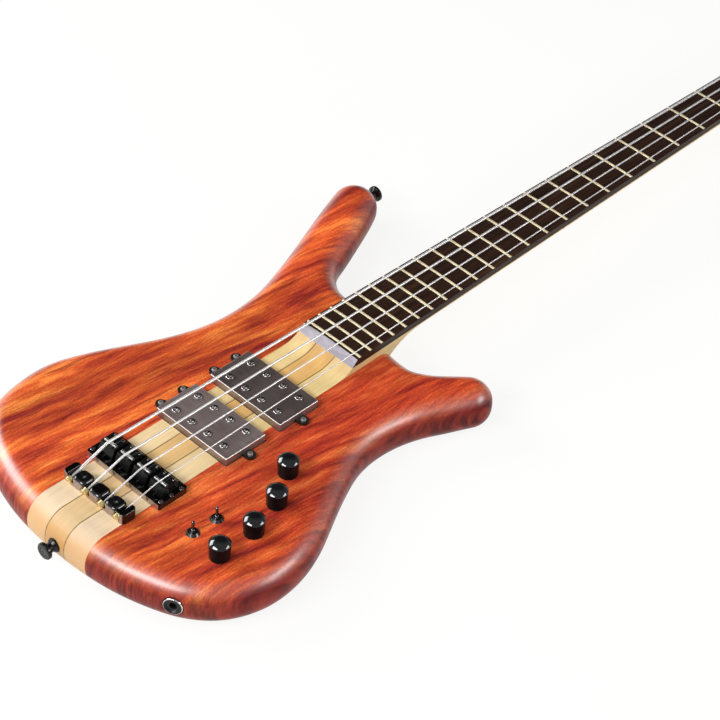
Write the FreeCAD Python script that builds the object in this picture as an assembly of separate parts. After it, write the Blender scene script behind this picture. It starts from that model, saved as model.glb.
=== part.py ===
import FreeCAD, Part
import os
from math import acos, asin, atan2, cos, pi, radians, sin, sqrt, tan

# Electric bass guitar with a laminated neck that runs through the body, in millimetres.
# X runs from the tail to the headstock with zero at the saddles, +Y is the bass side, +Z leaves the top.
# Z is zero on the back of the body.

# Body
BODY_THICKNESS = 42.0
EDGE_FLAT = 1.5
HORN_TIP_EXTRA = 1.3
TREBLE_TIP = (270.0, -105.2)
TREBLE_TIP_HEADINGS = (-26.0, 136.0)
BASS_TIP = (384.0, 138.6)
BASS_TIP_HEADINGS = (28.0, 198.0)
# Outline at mid thickness: X, Y and heading in degrees, anticlockwise from the tail, between the horn tips.
TREBLE_OUTLINE = [
    (-89.5, 0.0, -90.0),
    (-80.4, -73.5, -74.0),
    (-55.5, -125.6, -50.0),
    (8.0, -154.1, 0.0),
    (46.9, -147.3, 19.0),
    (95.0, -124.1, 28.5),
    (176.0, -96.7, 0.0),
    (230.0, -109.5, -27.0),
]
CUTAWAY_OUTLINE = [
    (257.2, -60.0, 118.0),
    (255.5, -40.0, 84.0),
    (259.0, -20.0, 80.0),
    (283.0, 20.0, 95.0),
    (282.0, 48.0, 84.0),
    (292.5, 70.5, 50.0),
    (340.5, 96.2, 23.0),
]
BASS_OUTLINE = [
    (300.3, 129.2, 201.5),
    (190.6, 100.9, 180.0),
    (109.2, 122.8, 153.5),
    (72.4, 140.5, 156.0),
    (20.0, 154.5, 180.0),
    (-55.5, 125.6, 230.0),
    (-80.4, 73.5, 254.0),
]

# Neck, from the tail through the body to the headstock
SCALE_LENGTH = 863.6
BLOCK_HALF_WIDTH = 33.9
HEEL_HALF_WIDTH = 31.35
NUT_HALF_WIDTH = 19.25
NECK_RISE = 6.0
RAMP_LENGTH = 18.0
HEEL_START = 238.5
HEEL_LENGTH = 65.0
HEEL_SKEW = 0.43
HEEL_CURVE = 2.3
NECK_DEPTH_HEEL = 15.5
NECK_DEPTH_NUT = 14.5
NECK_SIDE = 1.2
HEEL_CORNER = 0.8
HEEL_STEPS = 8
STRINGER_OFFSET = 11.0
STRINGER_WIDTH = 1.0

# Fretboard, frets and nut
FRET_COUNT = 24
FRETBOARD_THICKNESS = 6.6
FRETBOARD_RADIUS = 800.0
FRETBOARD_OVERHANG = 9.9
FRETBOARD_BEVEL = 6.4
FRET_WIDTH = 2.6
FRET_HEIGHT = 1.0
FRET_INSET = 0.6
NUT_LENGTH = 5.0
NUT_ABOVE_BOARD = 4.0
NUT_SLOT_GAP = 0.05
SIDE_DOT_RADIUS = 1.0
SIDE_DOT_DEPTH = 1.5
SIDE_DOT_FRETS = [3, 5, 7, 9, 15, 17, 19, 21]
SIDE_DOT_PAIRS = [12, 24]
SIDE_DOT_PAIR_SPACING = 7.0

# Truss rod
ROD_WIDTH = 6.0
ROD_DEPTH = 8.0
ROD_START = 240.0
ROD_NUT_RADIUS = 4.0
ROD_NUT_LENGTH = 10.0
ROD_NUT_SOCKET = 1.8
ROD_POCKET_LENGTH = 26.0
ROD_POCKET_WIDTH = 12.0
ROD_POCKET_DEPTH = 9.0
ROD_COVER_LENGTH = 34.0
ROD_COVER_WIDTH = 22.0
ROD_COVER_END_WIDTH = 12.0
ROD_COVER_CORNER = 2.4
ROD_COVER_THICKNESS = 1.6
ROD_COVER_SCREW_INSET = 3.2

# Headstock
HEAD_TILT = 8.0
HEAD_LENGTH = 178.0
HEAD_THICKNESS = 14.0
HEAD_WAIST = 40.0
HEAD_WAIST_HALF = 34.0
HEAD_WAIST_HEADING = 34.0
HEAD_SHOULDER = 66.0
HEAD_SHOULDER_HALF = 40.5
HEAD_END_HALF = 33.0
HEAD_END_HEADING = -12.0
HEAD_END_CORNER = 16.0
HEAD_THROAT = 20.0

# Tuners
POST_RADIUS = 5.0
POST_HEIGHT = 20.0
POST_SLOT_WIDTH = 3.0
POST_SLOT_DEPTH = 4.0
POST_NEAR = 52.0
POST_FAR = 114.0
POST_OFFSET = 24.0
RUNNING_GAP = 0.05
BUSHING_RADIUS = 7.5
BUSHING_FLANGE_RADIUS = 9.0
BUSHING_FLANGE_HEIGHT = 2.0
GEAR_RADIUS = 8.0
GEAR_THICKNESS = 5.0
WORM_RADIUS = 4.0
WORM_LENGTH = 14.0
GEAR_ROOM = 0.4
HOUSING_WALL = 2.0
HOUSING_FLANGE = 6.0
HOUSING_FLANGE_WIDTH = 9.0
HOUSING_FLANGE_THICKNESS = 2.0
PIVOT_RADIUS = 3.0
PIVOT_LENGTH = 1.2
KEY_SHAFT_RADIUS = 2.5
KEY_CLEAR_OF_HEAD = 5.0
KEY_LENGTH = 18.0
KEY_WIDTH = 22.0
KEY_THICKNESS = 7.0
KEY_EDGE_ROUND = 2.1
KEY_SHAFT_IN_KEY = 5.4

# Strings, in the order E, A, D, G from the bass side
STRING_NAMES = ["e", "a", "d", "g"]
STRING_DIAMETERS = [2.5, 2.0, 1.5, 1.1]
STRING_SPACING_SADDLE = 19.4
STRING_SPACING_NUT = 9.7
STRING_SPACING_TAIL = 18.6
ACTION_LAST_FRET = 1.2
ACTION_NUT = 0.35
STRING_BEND_RADIUS = 10.0
SADDLE_BEND_BEHIND = 3.0
NUT_BEND_BEHIND = 1.5
WINDING_TURNS = 2.5
WINDING_GAP = 0.6
WINDING_POST_GAP = 0.3
WINDING_ABOVE_FLANGE = 1.0
BALL_RADIUS = 3.1
BALL_LENGTH = 3.6
BALL_HOLLOW_RADIUS = 1.9
BALL_HOLLOW_DEPTH = 1.2

# Bridge and saddles
BRIDGE_REAR = -19.5
BRIDGE_FRONT = 11.5
BRIDGE_HALF_WIDTH = 42.0
BRIDGE_FLOOR = 2.0
BRIDGE_HEIGHT = 6.0
BRIDGE_REAR_WALL = 4.5
BRIDGE_FRONT_WALL = 2.0
BRIDGE_CORNER = 2.0
SADDLE_CREST = -5.0
SADDLE_WIDTH = 16.2
SADDLE_BEHIND = 11.5
SADDLE_AHEAD = 6.0
SADDLE_FLAT_BEHIND = 3.2
SADDLE_REAR_RISE = 0.8
SADDLE_BEVEL = 1.0
SADDLE_ABOVE_FLOOR = 0.6
SADDLE_SIDE_GAP = 0.2
REST_PIN_RADIUS = 1.6
REST_PIN_LENGTH = 13.6
REST_PIN_DROP = 0.3
REST_PIN_STRING_GAP = 0.05
SADDLE_SCREW_RADIUS = 1.4
SADDLE_SCREW_OFFSET = 5.2
SADDLE_SCREW_AHEAD = 3.4
SADDLE_SCREW_DROP = 0.5
SADDLE_SCREW_FLOOR_GAP = 0.05
SADDLE_SCREW_SOCKET = 0.75
INTONATION_RADIUS = 0.8
INTONATION_HEAD_RADIUS = 1.7
INTONATION_HEAD_LENGTH = 2.0
INTONATION_HEIGHT = 3.9
INTONATION_REACH = 6.0
INTONATION_GAP = 0.2
BRIDGE_SCREW_ROWS = [-15.0, -4.0, 7.0]
BRIDGE_SCREW_HEAD = 2.1
BRIDGE_SCREW_HEAD_HEIGHT = 1.2
BRIDGE_SCREW_RADIUS = 1.3
BRIDGE_SCREW_LENGTH = 22.0

# Tailpiece
TAIL_REAR = -50.2
TAIL_FRONT = -35.2
TAIL_HALF_WIDTH = 35.4
TAIL_BASE = 3.0
TAIL_HEIGHT = 9.5
TAIL_SLOT_WIDTH = 3.4
TAIL_CORNER = 4.0
TAIL_LOBE_ROUND = 5.2
TAIL_LOBE_SHARE = 0.4
TAIL_END_OUTER_SHARE = 0.68
TAIL_END_INNER_SHARE = 0.2
TAIL_CROWN_SHARE = 0.75
TAIL_BALL_HEIGHT = 4.1
TAIL_BALL_GAP = 0.1
TAIL_BALL_PROUD = 1.0
TAIL_SCREW_RADIUS = 3.0
TAIL_SCREW_HEAD_RADIUS = 4.2
TAIL_SCREW_HEAD_HEIGHT = 4.0
TAIL_SCREW_LENGTH = 26.0
TAIL_SCREW_SOCKET = 2.0
TAIL_SCREW_SOCKET_DEPTH = 2.8

# Pickups
PICKUP_CENTRES = [75.5, 135.0]
PICKUP_LENGTH = 43.5
PICKUP_WIDTH = 81.5
PICKUP_ABOVE_TOP = 7.0
PICKUP_BELOW_TOP = 12.0
PICKUP_EDGE = 0.8
PICKUP_CAVITY_GAP = 0.6
PICKUP_FOAM = 2.0
PICKUP_EAR_RADIUS = 4.6
PICKUP_EAR_REACH = 5.0
PICKUP_EAR_BOTTOM = 0.2
PICKUP_EAR_THICKNESS = 2.2
PICKUP_EAR_SPREAD = 12.3
POLE_RADIUS = 3.6
POLE_LENGTH = 9.0
POLE_PROUD = 1.2
POLE_ROUND = 1.1
POLE_SPREAD = 12.2
POLE_SOCKET = 1.8
POLE_SOCKET_DEPTH = 2.6

# Small wood screws for pickups and covers
SMALL_SCREW_HEAD = 2.3
SMALL_SCREW_HEAD_HEIGHT = 1.6
SMALL_SCREW_RADIUS = 1.2
SMALL_SCREW_LENGTH = 11.0
SCREW_HEAD_ROUND = 0.45
CROSS_SLOT_REACH = 0.6
CROSS_SLOT_WIDTH = 0.7
CROSS_SLOT_DEPTH = 0.8

# Controls
KNOB_PLACES = [(84.3, -79.4), (53.8, -97.9), (19.2, -108.2), (-17.7, -108.9)]
KNOB_RADIUS = 9.0
KNOB_BASE_RADIUS = 8.3
KNOB_HEIGHT = 14.6
KNOB_DOME = 4.2
KNOB_LIFT = 0.6
KNOB_TOP_ROUND = 1.2
KNOB_RECESS_RADIUS = 6.4
KNOB_RECESS_DEPTH = 4.0
SHAFT_RADIUS = 3.0
SHAFT_IN_KNOB = 6.0
SHAFT_END_GAP = 0.2
POT_RADIUS = 8.2
POT_HEIGHT = 9.0
POT_BUSHING_RADIUS = 4.6
POT_BUSHING_PROUD = 2.6
POT_NUT_RADIUS = 5.8
POT_NUT_HEIGHT = 1.8
SWITCH_PLACES = [(8.5, -78.2), (-15.4, -76.8)]
SWITCH_BODY_LENGTH = 12.0
SWITCH_BODY_WIDTH = 7.0
SWITCH_BODY_DEPTH = 10.0
SWITCH_BUSHING_RADIUS = 2.9
SWITCH_BUSHING_PROUD = 3.6
SWITCH_BORE = 2.3
SWITCH_PIVOT_HEIGHT = 2.2
SWITCH_BALL = 2.0
SWITCH_NUT_RADIUS = 5.8
SWITCH_NUT_TOP_RADIUS = 4.2
SWITCH_NUT_HEIGHT = 2.0
LEVER_LENGTH = 9.0
LEVER_NECK_RADIUS = 0.9
LEVER_TIP_RADIUS = 1.5
CAVITY_OUTLINE = [
    (-30.0, -60.0),
    (104.0, -60.0),
    (104.0, -88.0),
    (44.0, -119.0),
    (-20.0, -119.0),
    (-33.0, -109.0),
]
CAVITY_CORNER = 8.0
CAVITY_CEILING = 6.0
COVER_THICKNESS = 2.5
COVER_MARGIN = 3.6
COVER_GAP = 0.2
COVER_SCREW_HEAD_DROP = 0.1
BATTERY_PLACE = (50.0, -84.0)
BATTERY_LENGTH = 48.0
BATTERY_WIDTH = 26.0
BATTERY_HEIGHT = 17.0
BATTERY_CORNER = 2.0

# Output jack in the edge
JACK_PLACE = (-66.2, -109.5)
JACK_HEADING = 208.0
JACK_HEIGHT = 22.0
JACK_SEAT_RADIUS = 8.8
JACK_SEAT_DEPTH = 2.0
JACK_RING_RADIUS = 8.2
JACK_RING_HEIGHT = 2.6
JACK_RING_ROUND = 1.0
JACK_FACE_DROP = 1.4
JACK_BARREL_RADIUS = 6.3
JACK_BARREL_LENGTH = 37.0
JACK_BORE_RADIUS = 3.2
JACK_BORE_DEPTH = 32.0

# Strap buttons: the tail one on the centre line, the other on the horn's tip
HORN_BUTTON_PLACE = (405.6, 141.0)
HORN_BUTTON_HEADING = 0.0
BUTTON_LENGTH = 12.5
BUTTON_BASE_RADIUS = 6.0
BUTTON_BASE = 2.6
BUTTON_WAIST_RADIUS = 4.2
BUTTON_WAIST_START = 4.6
BUTTON_WAIST_END = 7.0
BUTTON_RIM_RADIUS = 7.4
BUTTON_RIM = 3.0
BUTTON_RIM_BEVEL = 0.9
BUTTON_SEAT_GAP = 0.4
BUTTON_SEAT_DEPTH = 1.4
BUTTON_SCREW_RADIUS = 2.0
BUTTON_SCREW_HEAD = 3.6
BUTTON_SCREW_HEAD_HEIGHT = 2.2
BUTTON_SCREW_LENGTH = 28.0

# Worked out from the sizes above
TOP = BODY_THICKNESS
EDGE_ROUND = BODY_THICKNESS * 0.5 - EDGE_FLAT
BOARD_BOTTOM = TOP + NECK_RISE
BOARD_TOP = BOARD_BOTTOM + FRETBOARD_THICKNESS
BOARD_AXIS = BOARD_TOP - FRETBOARD_RADIUS
LAST_FRET = SCALE_LENGTH * 2.0 ** (-FRET_COUNT / 12.0)
BOARD_END = LAST_FRET - FRETBOARD_OVERHANG
TAIL_END = TREBLE_OUTLINE[0][0]
HEEL_END = HEEL_START + HEEL_LENGTH
HEAD_START = SCALE_LENGTH + NUT_LENGTH
FAR = 2.0 * SCALE_LENGTH
UP = FreeCAD.Vector(0, 0, 1)
X_AXIS = FreeCAD.Vector(1, 0, 0)
Y_AXIS = FreeCAD.Vector(0, 1, 0)
HEAD_PLACEMENT = FreeCAD.Placement(
    FreeCAD.Vector(HEAD_START, 0, BOARD_BOTTOM), FreeCAD.Rotation(Y_AXIS, HEAD_TILT)
)


def vec(x, y, z=0.0):
    return FreeCAD.Vector(x, y, z)


def unit(vector):
    return vector * (1.0 / vector.Length)


def heading(degrees):
    return vec(cos(radians(degrees)), sin(radians(degrees)))


def box(x0, x1, y0, y1, z0, z1):
    return Part.makeBox(x1 - x0, y1 - y0, z1 - z0, vec(x0, y0, z0))


def rod(base, axis, radius, length):
    return Part.makeCylinder(radius, length, base, axis)


def joined(shapes):
    return shapes[0].fuse(shapes[1:]).removeSplitter()


def arc_leaving(start, tangent, end):
    """Arc that leaves start along tangent and reaches end; a line where they are in line."""
    chord = end - start
    along = unit(chord)
    side = tangent - along * tangent.dot(along)
    if side.Length < 1e-7:
        return Part.LineSegment(start, end).toShape()
    angle = acos(max(-1.0, min(1.0, tangent.dot(along))))
    middle = start + chord * 0.5 + unit(side) * (chord.Length * 0.5 * tan(angle * 0.5))
    return Part.Arc(start, middle, end).toShape()


def biarc(start, start_tangent, end, end_tangent):
    """Two arcs that leave start and reach end along the given unit tangents."""
    span = end - start
    both = span.dot(start_tangent + end_tangent)
    spread = 2.0 * (1.0 - start_tangent.dot(end_tangent))
    if spread < 1e-9:
        reach = span.dot(span) / (4.0 * span.dot(end_tangent))
    else:
        reach = (sqrt(both * both + spread * span.dot(span)) - both) / spread
    meeting = (start + end + (start_tangent - end_tangent) * reach) * 0.5
    return [arc_leaving(start, start_tangent, meeting), arc_leaving(end, end_tangent * -1.0, meeting)]


def biarc_chain(places):
    """Edges through (x, y, heading) places, each pair joined by two arcs."""
    edges = []
    for (x0, y0, a0), (x1, y1, a1) in zip(places, places[1:]):
        edges += biarc(vec(x0, y0), heading(a0), vec(x1, y1), heading(a1))
    return edges


def prism(edges, z0, z1):
    face = Part.Face(Part.Wire(Part.__sortEdges__(edges)))
    face.translate(vec(0, 0, z0))
    return face.extrude(vec(0, 0, z1 - z0))


def polygon(points):
    return [Part.LineSegment(vec(*a), vec(*b)).toShape() for a, b in zip(points, points[1:] + points[:1])]


def side_prism(edges, half_width):
    """Solid from edges drawn in the X-Z plane, as deep in Y as the given half width on either side."""
    face = Part.Face(Part.Wire(Part.__sortEdges__(edges)))
    face.translate(vec(0, -half_width, 0))
    return face.extrude(vec(0, 2.0 * half_width, 0))


def rounded_polygon(points, radius):
    """Closed edges through points with every corner rounded."""
    starts, ends, middles = [], [], []
    for before, corner, after in zip(points[-1:] + points[:-1], points, points[1:] + points[:1]):
        corner = vec(*corner)
        back = unit(vec(*before) - corner)
        ahead = unit(vec(*after) - corner)
        half = acos(back.dot(ahead)) * 0.5
        reach = radius / tan(half)
        starts.append(corner + back * reach)
        ends.append(corner + ahead * reach)
        middles.append(corner + unit(back + ahead) * (radius / sin(half) - radius))
    edges = []
    for start, middle, end, following in zip(starts, middles, ends, starts[1:] + starts[:1]):
        edges.append(Part.Arc(start, middle, end).toShape())
        edges.append(Part.LineSegment(end, following).toShape())
    return edges


def shifted_polygon(points, margin):
    """Points of a clockwise or anticlockwise polygon moved outwards by margin."""
    area = sum(a[0] * b[1] - b[0] * a[1] for a, b in zip(points, points[1:] + points[:1]))
    turn = 1.0 if area > 0 else -1.0
    moved = []
    for before, corner, after in zip(points[-1:] + points[:-1], points, points[1:] + points[:1]):
        into = unit(vec(*corner) - vec(*before))
        out = unit(vec(*after) - vec(*corner))
        normal_in = vec(into.y, -into.x) * turn
        normal_out = vec(out.y, -out.x) * turn
        shift = (normal_in + normal_out) * (margin / (1.0 + normal_in.dot(normal_out)))
        moved.append((corner[0] + shift.x, corner[1] + shift.y))
    return moved


def hexagon_prism(base, axis, across_half, length):
    """Hexagonal solid that starts at base and runs along axis."""
    corner = across_half / cos(pi / 6.0)
    points = [(corner * cos(k * pi / 3.0), corner * sin(k * pi / 3.0)) for k in range(6)]
    solid = prism(polygon(points), 0.0, length)
    solid.Placement = FreeCAD.Placement(base, FreeCAD.Rotation(UP, axis))
    return solid


def half_width(x):
    """Half the width of the laminated block and neck at x."""
    if x < LAST_FRET:
        share = (x - TAIL_END) / (LAST_FRET - TAIL_END)
        return BLOCK_HALF_WIDTH + (HEEL_HALF_WIDTH - BLOCK_HALF_WIDTH) * share
    share = (x - LAST_FRET) / (SCALE_LENGTH - LAST_FRET)
    return HEEL_HALF_WIDTH + (NUT_HALF_WIDTH - HEEL_HALF_WIDTH) * share


def neck_edges(x, skew):
    """Plan places on the bass and treble edges of a section that may run askew across the neck."""
    reach = skew * half_width(x)
    return (x + reach, half_width(x + reach)), (x - reach, -half_width(x - reach))


def neck_plan(x0, x1, skew=0.0):
    """Plan edges of the block and neck between x0 and x1, where the end may be askew."""
    stations = [x0] + [x for x in [LAST_FRET] if x0 < x < x1]
    bass_end, treble_end = neck_edges(x1, skew)
    treble = [(x, -half_width(x)) for x in stations]
    bass = [(x, half_width(x)) for x in reversed(stations)]
    return polygon(treble + [treble_end, bass_end] + bass)


def string_places(spacing):
    """Y of each string for one spacing, from the bass side."""
    middle = (len(STRING_NAMES) - 1) * 0.5
    return [(middle - k) * spacing for k in range(len(STRING_NAMES))]


def board_height(y):
    return BOARD_AXIS + sqrt(FRETBOARD_RADIUS ** 2 - y * y)


def string_height(index, x):
    """Height of a string's centre line between the saddle and the nut."""
    radius = STRING_DIAMETERS[index] * 0.5
    y_nut = string_places(STRING_SPACING_NUT)[index]
    y_saddle = string_places(STRING_SPACING_SADDLE)[index]
    y_last = y_saddle + (y_nut - y_saddle) * LAST_FRET / SCALE_LENGTH
    at_nut = board_height(y_nut) + FRET_HEIGHT + ACTION_NUT + radius
    at_last = board_height(y_last) + FRET_HEIGHT + ACTION_LAST_FRET + radius
    return at_nut + (at_last - at_nut) * (SCALE_LENGTH - x) / (SCALE_LENGTH - LAST_FRET)


def pan_screw(seat, axis, head_radius, head_height, radius, length):
    """Pan-head screw with a cross slot; seat is under the head and axis points out of the wood."""
    head = rod(seat, axis, head_radius, head_height)
    middle = seat + axis * (head_height * 0.5)
    rim = [edge for edge in head.Edges if edge.Closed and (edge.CenterOfMass - middle).dot(axis) > 0]
    head = head.makeFillet(head_height * SCREW_HEAD_ROUND, rim)
    shank = rod(seat - axis * length, axis, radius, length)
    across = unit(axis.cross(Y_AXIS))
    reach = head_radius * CROSS_SLOT_REACH
    half = CROSS_SLOT_WIDTH * 0.5
    slots = []
    for direction in (across, unit(axis.cross(across))):
        slot = box(-reach, reach, -half, half, -CROSS_SLOT_DEPTH, CROSS_SLOT_DEPTH)
        turn = FreeCAD.Rotation(direction, axis.cross(direction), axis, "ZXY")
        slot.Placement = FreeCAD.Placement(seat + axis * head_height, turn).multiply(slot.Placement)
        slots.append(slot)
    return joined([head, shank]).cut(slots)


# Wood of the body and the neck

def horn_tip(centre, headings):
    """Places where a horn's round tip starts and ends."""
    radius = EDGE_ROUND + HORN_TIP_EXTRA
    return [(centre[0] + radius * sin(radians(a)), centre[1] - radius * cos(radians(a)), a) for a in headings]


def body_blank():
    """Whole body with its rounded edge; the part that crosses the neck is cut away later."""
    places = TREBLE_OUTLINE + horn_tip(TREBLE_TIP, TREBLE_TIP_HEADINGS)
    places += CUTAWAY_OUTLINE + horn_tip(BASS_TIP, BASS_TIP_HEADINGS) + BASS_OUTLINE
    blank = prism(biarc_chain(places + places[:1]), 0.0, BODY_THICKNESS)
    level = [edge for edge in blank.Edges if abs(edge.BoundBox.ZLength) < 1e-6]
    return blank.makeFillet(EDGE_ROUND, level)


def neck_section(x, bottom, corner, skew=0.0):
    """D-shaped section of the neck: flat top, short sides and an arc across the back."""
    bass, treble = neck_edges(x, skew)
    middle = (bass[0] + treble[0]) * 0.5, (bass[1] + treble[1]) * 0.5
    side = bottom + corner
    edges = [
        Part.LineSegment(vec(*bass, side), vec(*bass, BOARD_BOTTOM)).toShape(),
        Part.LineSegment(vec(*bass, BOARD_BOTTOM), vec(*treble, BOARD_BOTTOM)).toShape(),
        Part.LineSegment(vec(*treble, BOARD_BOTTOM), vec(*treble, side)).toShape(),
        Part.Arc(vec(*treble, side), vec(*middle, bottom), vec(*bass, side)).toShape(),
    ]
    return Part.Wire(edges)


def neck_shaft():
    """Heel that follows the two cutaways, playing length and throat of the neck."""
    heel_bottom = BOARD_BOTTOM - NECK_DEPTH_HEEL
    nut_bottom = BOARD_BOTTOM - NECK_DEPTH_NUT
    heel_back = NECK_DEPTH_HEEL - NECK_SIDE
    heel = []
    for step in range(HEEL_STEPS + 1):
        share = step / HEEL_STEPS
        ease = 1.0 - (1.0 - share) ** HEEL_CURVE
        corner = HEEL_CORNER + (heel_back - HEEL_CORNER) * ease
        heel.append(neck_section(HEEL_START + HEEL_LENGTH * share, heel_bottom * ease, corner, HEEL_SKEW))
    throat_start = SCALE_LENGTH - HEAD_THROAT
    shaft_end = neck_section(throat_start, nut_bottom, NECK_DEPTH_NUT - NECK_SIDE)
    throat_end = neck_section(SCALE_LENGTH, nut_bottom, HEEL_CORNER)
    return [
        Part.makeLoft(heel, True, True),
        Part.makeLoft([heel[-1], shaft_end], True, True),
        Part.makeLoft([shaft_end, throat_end], True, True),
    ]


def headstock():
    """Headstock blank: plan outline through the tilted side profile."""
    along = HEAD_PLACEMENT.Rotation.multVec(X_AXIS)
    down = HEAD_PLACEMENT.Rotation.multVec(UP) * -HEAD_THICKNESS
    start = HEAD_PLACEMENT.Base
    end = start + along * HEAD_LENGTH
    back = start + along * HEAD_THROAT + down
    profile = [
        (SCALE_LENGTH, 0, BOARD_BOTTOM - NECK_DEPTH_NUT),
        (back.x, 0, back.z),
        ((end + down).x, 0, (end + down).z),
        (end.x, 0, end.z),
        (start.x, 0, start.z),
        (SCALE_LENGTH, 0, BOARD_BOTTOM),
    ]
    x_end = HEAD_START + HEAD_LENGTH * cos(radians(HEAD_TILT)) - HEAD_THICKNESS * sin(radians(HEAD_TILT))
    x_shoulder = HEAD_START + HEAD_SHOULDER
    bass = [
        (SCALE_LENGTH, NUT_HALF_WIDTH, 0.0),
        (HEAD_START + HEAD_WAIST, HEAD_WAIST_HALF, HEAD_WAIST_HEADING),
        (x_shoulder, HEAD_SHOULDER_HALF, 0.0),
        (x_end - HEAD_END_CORNER, HEAD_END_HALF, HEAD_END_HEADING),
        (x_end, 0.0, -90.0),
    ]
    treble = [(x, -y, -angle + 180.0) for x, y, angle in reversed(bass)]
    root = Part.LineSegment(vec(*treble[-1][:2]), vec(*bass[0][:2])).toShape()
    plan = prism(biarc_chain(bass) + biarc_chain(treble) + [root], 0.0, BOARD_TOP)
    return side_prism(polygon(profile), HEAD_SHOULDER_HALF * 2.0).common(plan)


def neck_blank(blank):
    """Laminated neck in one piece, from the rounded tail to the headstock's end."""
    split = LAST_FRET * 0.5
    tail = blank.common(prism(neck_plan(TAIL_END - EDGE_ROUND, split), -TOP, 2.0 * TOP))
    ramp_start = BOARD_END - RAMP_LENGTH
    ramp = arc_leaving(vec(ramp_start, 0, TOP), X_AXIS, vec(BOARD_END, 0, BOARD_BOTTOM))
    corners = [
        (BOARD_END, 0, BOARD_BOTTOM),
        (HEEL_END, 0, BOARD_BOTTOM),
        (HEEL_END, 0, 0),
        (split, 0, 0),
        (split, 0, TOP),
        (ramp_start, 0, TOP),
    ]
    straight = [Part.LineSegment(vec(*a), vec(*b)).toShape() for a, b in zip(corners, corners[1:])]
    middle = side_prism([ramp] + straight, BLOCK_HALF_WIDTH * 2.0)
    middle = middle.common(prism(neck_plan(split, HEEL_START, HEEL_SKEW), -TOP, 2.0 * TOP))
    return joined([tail, middle] + neck_shaft() + [headstock()])


def head_local(shape):
    """Moves a shape drawn on the headstock's face into place."""
    shape.Placement = HEAD_PLACEMENT.multiply(shape.Placement)
    return shape


def tuner_places():
    """Post places on the headstock's face in string order, with the side of the key."""
    return [
        (POST_NEAR, POST_OFFSET, 1.0),
        (POST_FAR, POST_OFFSET, 1.0),
        (POST_FAR, -POST_OFFSET, -1.0),
        (POST_NEAR, -POST_OFFSET, -1.0),
    ]


def pickup_cavities():
    floor = TOP - PICKUP_BELOW_TOP - PICKUP_FOAM
    half_x = PICKUP_LENGTH * 0.5 + PICKUP_CAVITY_GAP
    half_y = PICKUP_WIDTH * 0.5 + PICKUP_CAVITY_GAP
    return [box(x - half_x, x + half_x, -half_y, half_y, floor, BOARD_TOP) for x in PICKUP_CENTRES]


def bridge_screw_places():
    wall_inside = string_places(STRING_SPACING_SADDLE)[0] + SADDLE_WIDTH * 0.5 + SADDLE_SIDE_GAP
    y = (wall_inside + BRIDGE_HALF_WIDTH) * 0.5
    return [(x, side * y) for side in (1.0, -1.0) for x in BRIDGE_SCREW_ROWS]


def tail_screw_places():
    x = (TAIL_REAR + TAIL_FRONT) * 0.5
    return [(x, side * STRING_SPACING_TAIL) for side in (1.0, -1.0)]


def pickup_screw_places():
    y = PICKUP_WIDTH * 0.5 + PICKUP_EAR_REACH
    places = []
    for x in PICKUP_CENTRES:
        places += [(x - PICKUP_EAR_SPREAD, y), (x + PICKUP_EAR_SPREAD, y), (x, -y)]
    return places


def cover_outline():
    return shifted_polygon(CAVITY_OUTLINE, COVER_MARGIN * 2.0)


def cover_screw_places():
    """Half way along each side of the control cover."""
    points = shifted_polygon(CAVITY_OUTLINE, COVER_MARGIN)
    return [((a[0] + b[0]) * 0.5, (a[1] + b[1]) * 0.5) for a, b in zip(points, points[1:] + points[:1])]


def rod_cover_screw_places():
    """Places on the headstock's face: two at the cover's wide end and one at its narrow end."""
    inset = ROD_COVER_SCREW_INSET
    y = ROD_COVER_WIDTH * 0.5 - inset
    return [(inset, y), (inset, -y), (ROD_COVER_LENGTH - inset, 0.0)]


def jack_axis():
    return heading(JACK_HEADING)


def button_places():
    """Base point and outward direction of each strap button's seat, below the rounded edge."""
    middle = BODY_THICKNESS * 0.5
    tail = (vec(TAIL_END, 0, middle), heading(180.0))
    horn = (vec(HORN_BUTTON_PLACE[0], HORN_BUTTON_PLACE[1], middle), heading(HORN_BUTTON_HEADING))
    return [(point - axis * BUTTON_SEAT_DEPTH, axis) for point, axis in (tail, horn)]


def button_cutters(index):
    seat, axis = button_places()[index]
    return [
        rod(seat, axis, BUTTON_BASE_RADIUS + BUTTON_SEAT_GAP, EDGE_ROUND),
        rod(seat - axis * BUTTON_SCREW_LENGTH, axis, BUTTON_SCREW_RADIUS, BUTTON_SCREW_LENGTH),
    ]


def screw_holes(places, z, radius, length):
    return [rod(vec(x, y, z - length), UP, radius, length) for x, y in places]


def top_holes():
    """Holes in the top for the bridge, tailpiece and pickup screws."""
    return (
        screw_holes(bridge_screw_places(), TOP, BRIDGE_SCREW_RADIUS, bridge_screw_depth())
        + screw_holes(tail_screw_places(), TOP, TAIL_SCREW_RADIUS, tail_screw_depth())
        + screw_holes(pickup_screw_places(), TOP, SMALL_SCREW_RADIUS, pickup_screw_depth())
    )


def bridge_screw_depth():
    return BRIDGE_SCREW_LENGTH - BRIDGE_HEIGHT + BRIDGE_SCREW_HEAD_HEIGHT


def tail_screw_depth():
    return TAIL_SCREW_LENGTH - TAIL_HEIGHT + TAIL_SCREW_HEAD_HEIGHT


def pickup_screw_depth():
    return SMALL_SCREW_LENGTH - PICKUP_EAR_BOTTOM - PICKUP_EAR_THICKNESS


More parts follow.
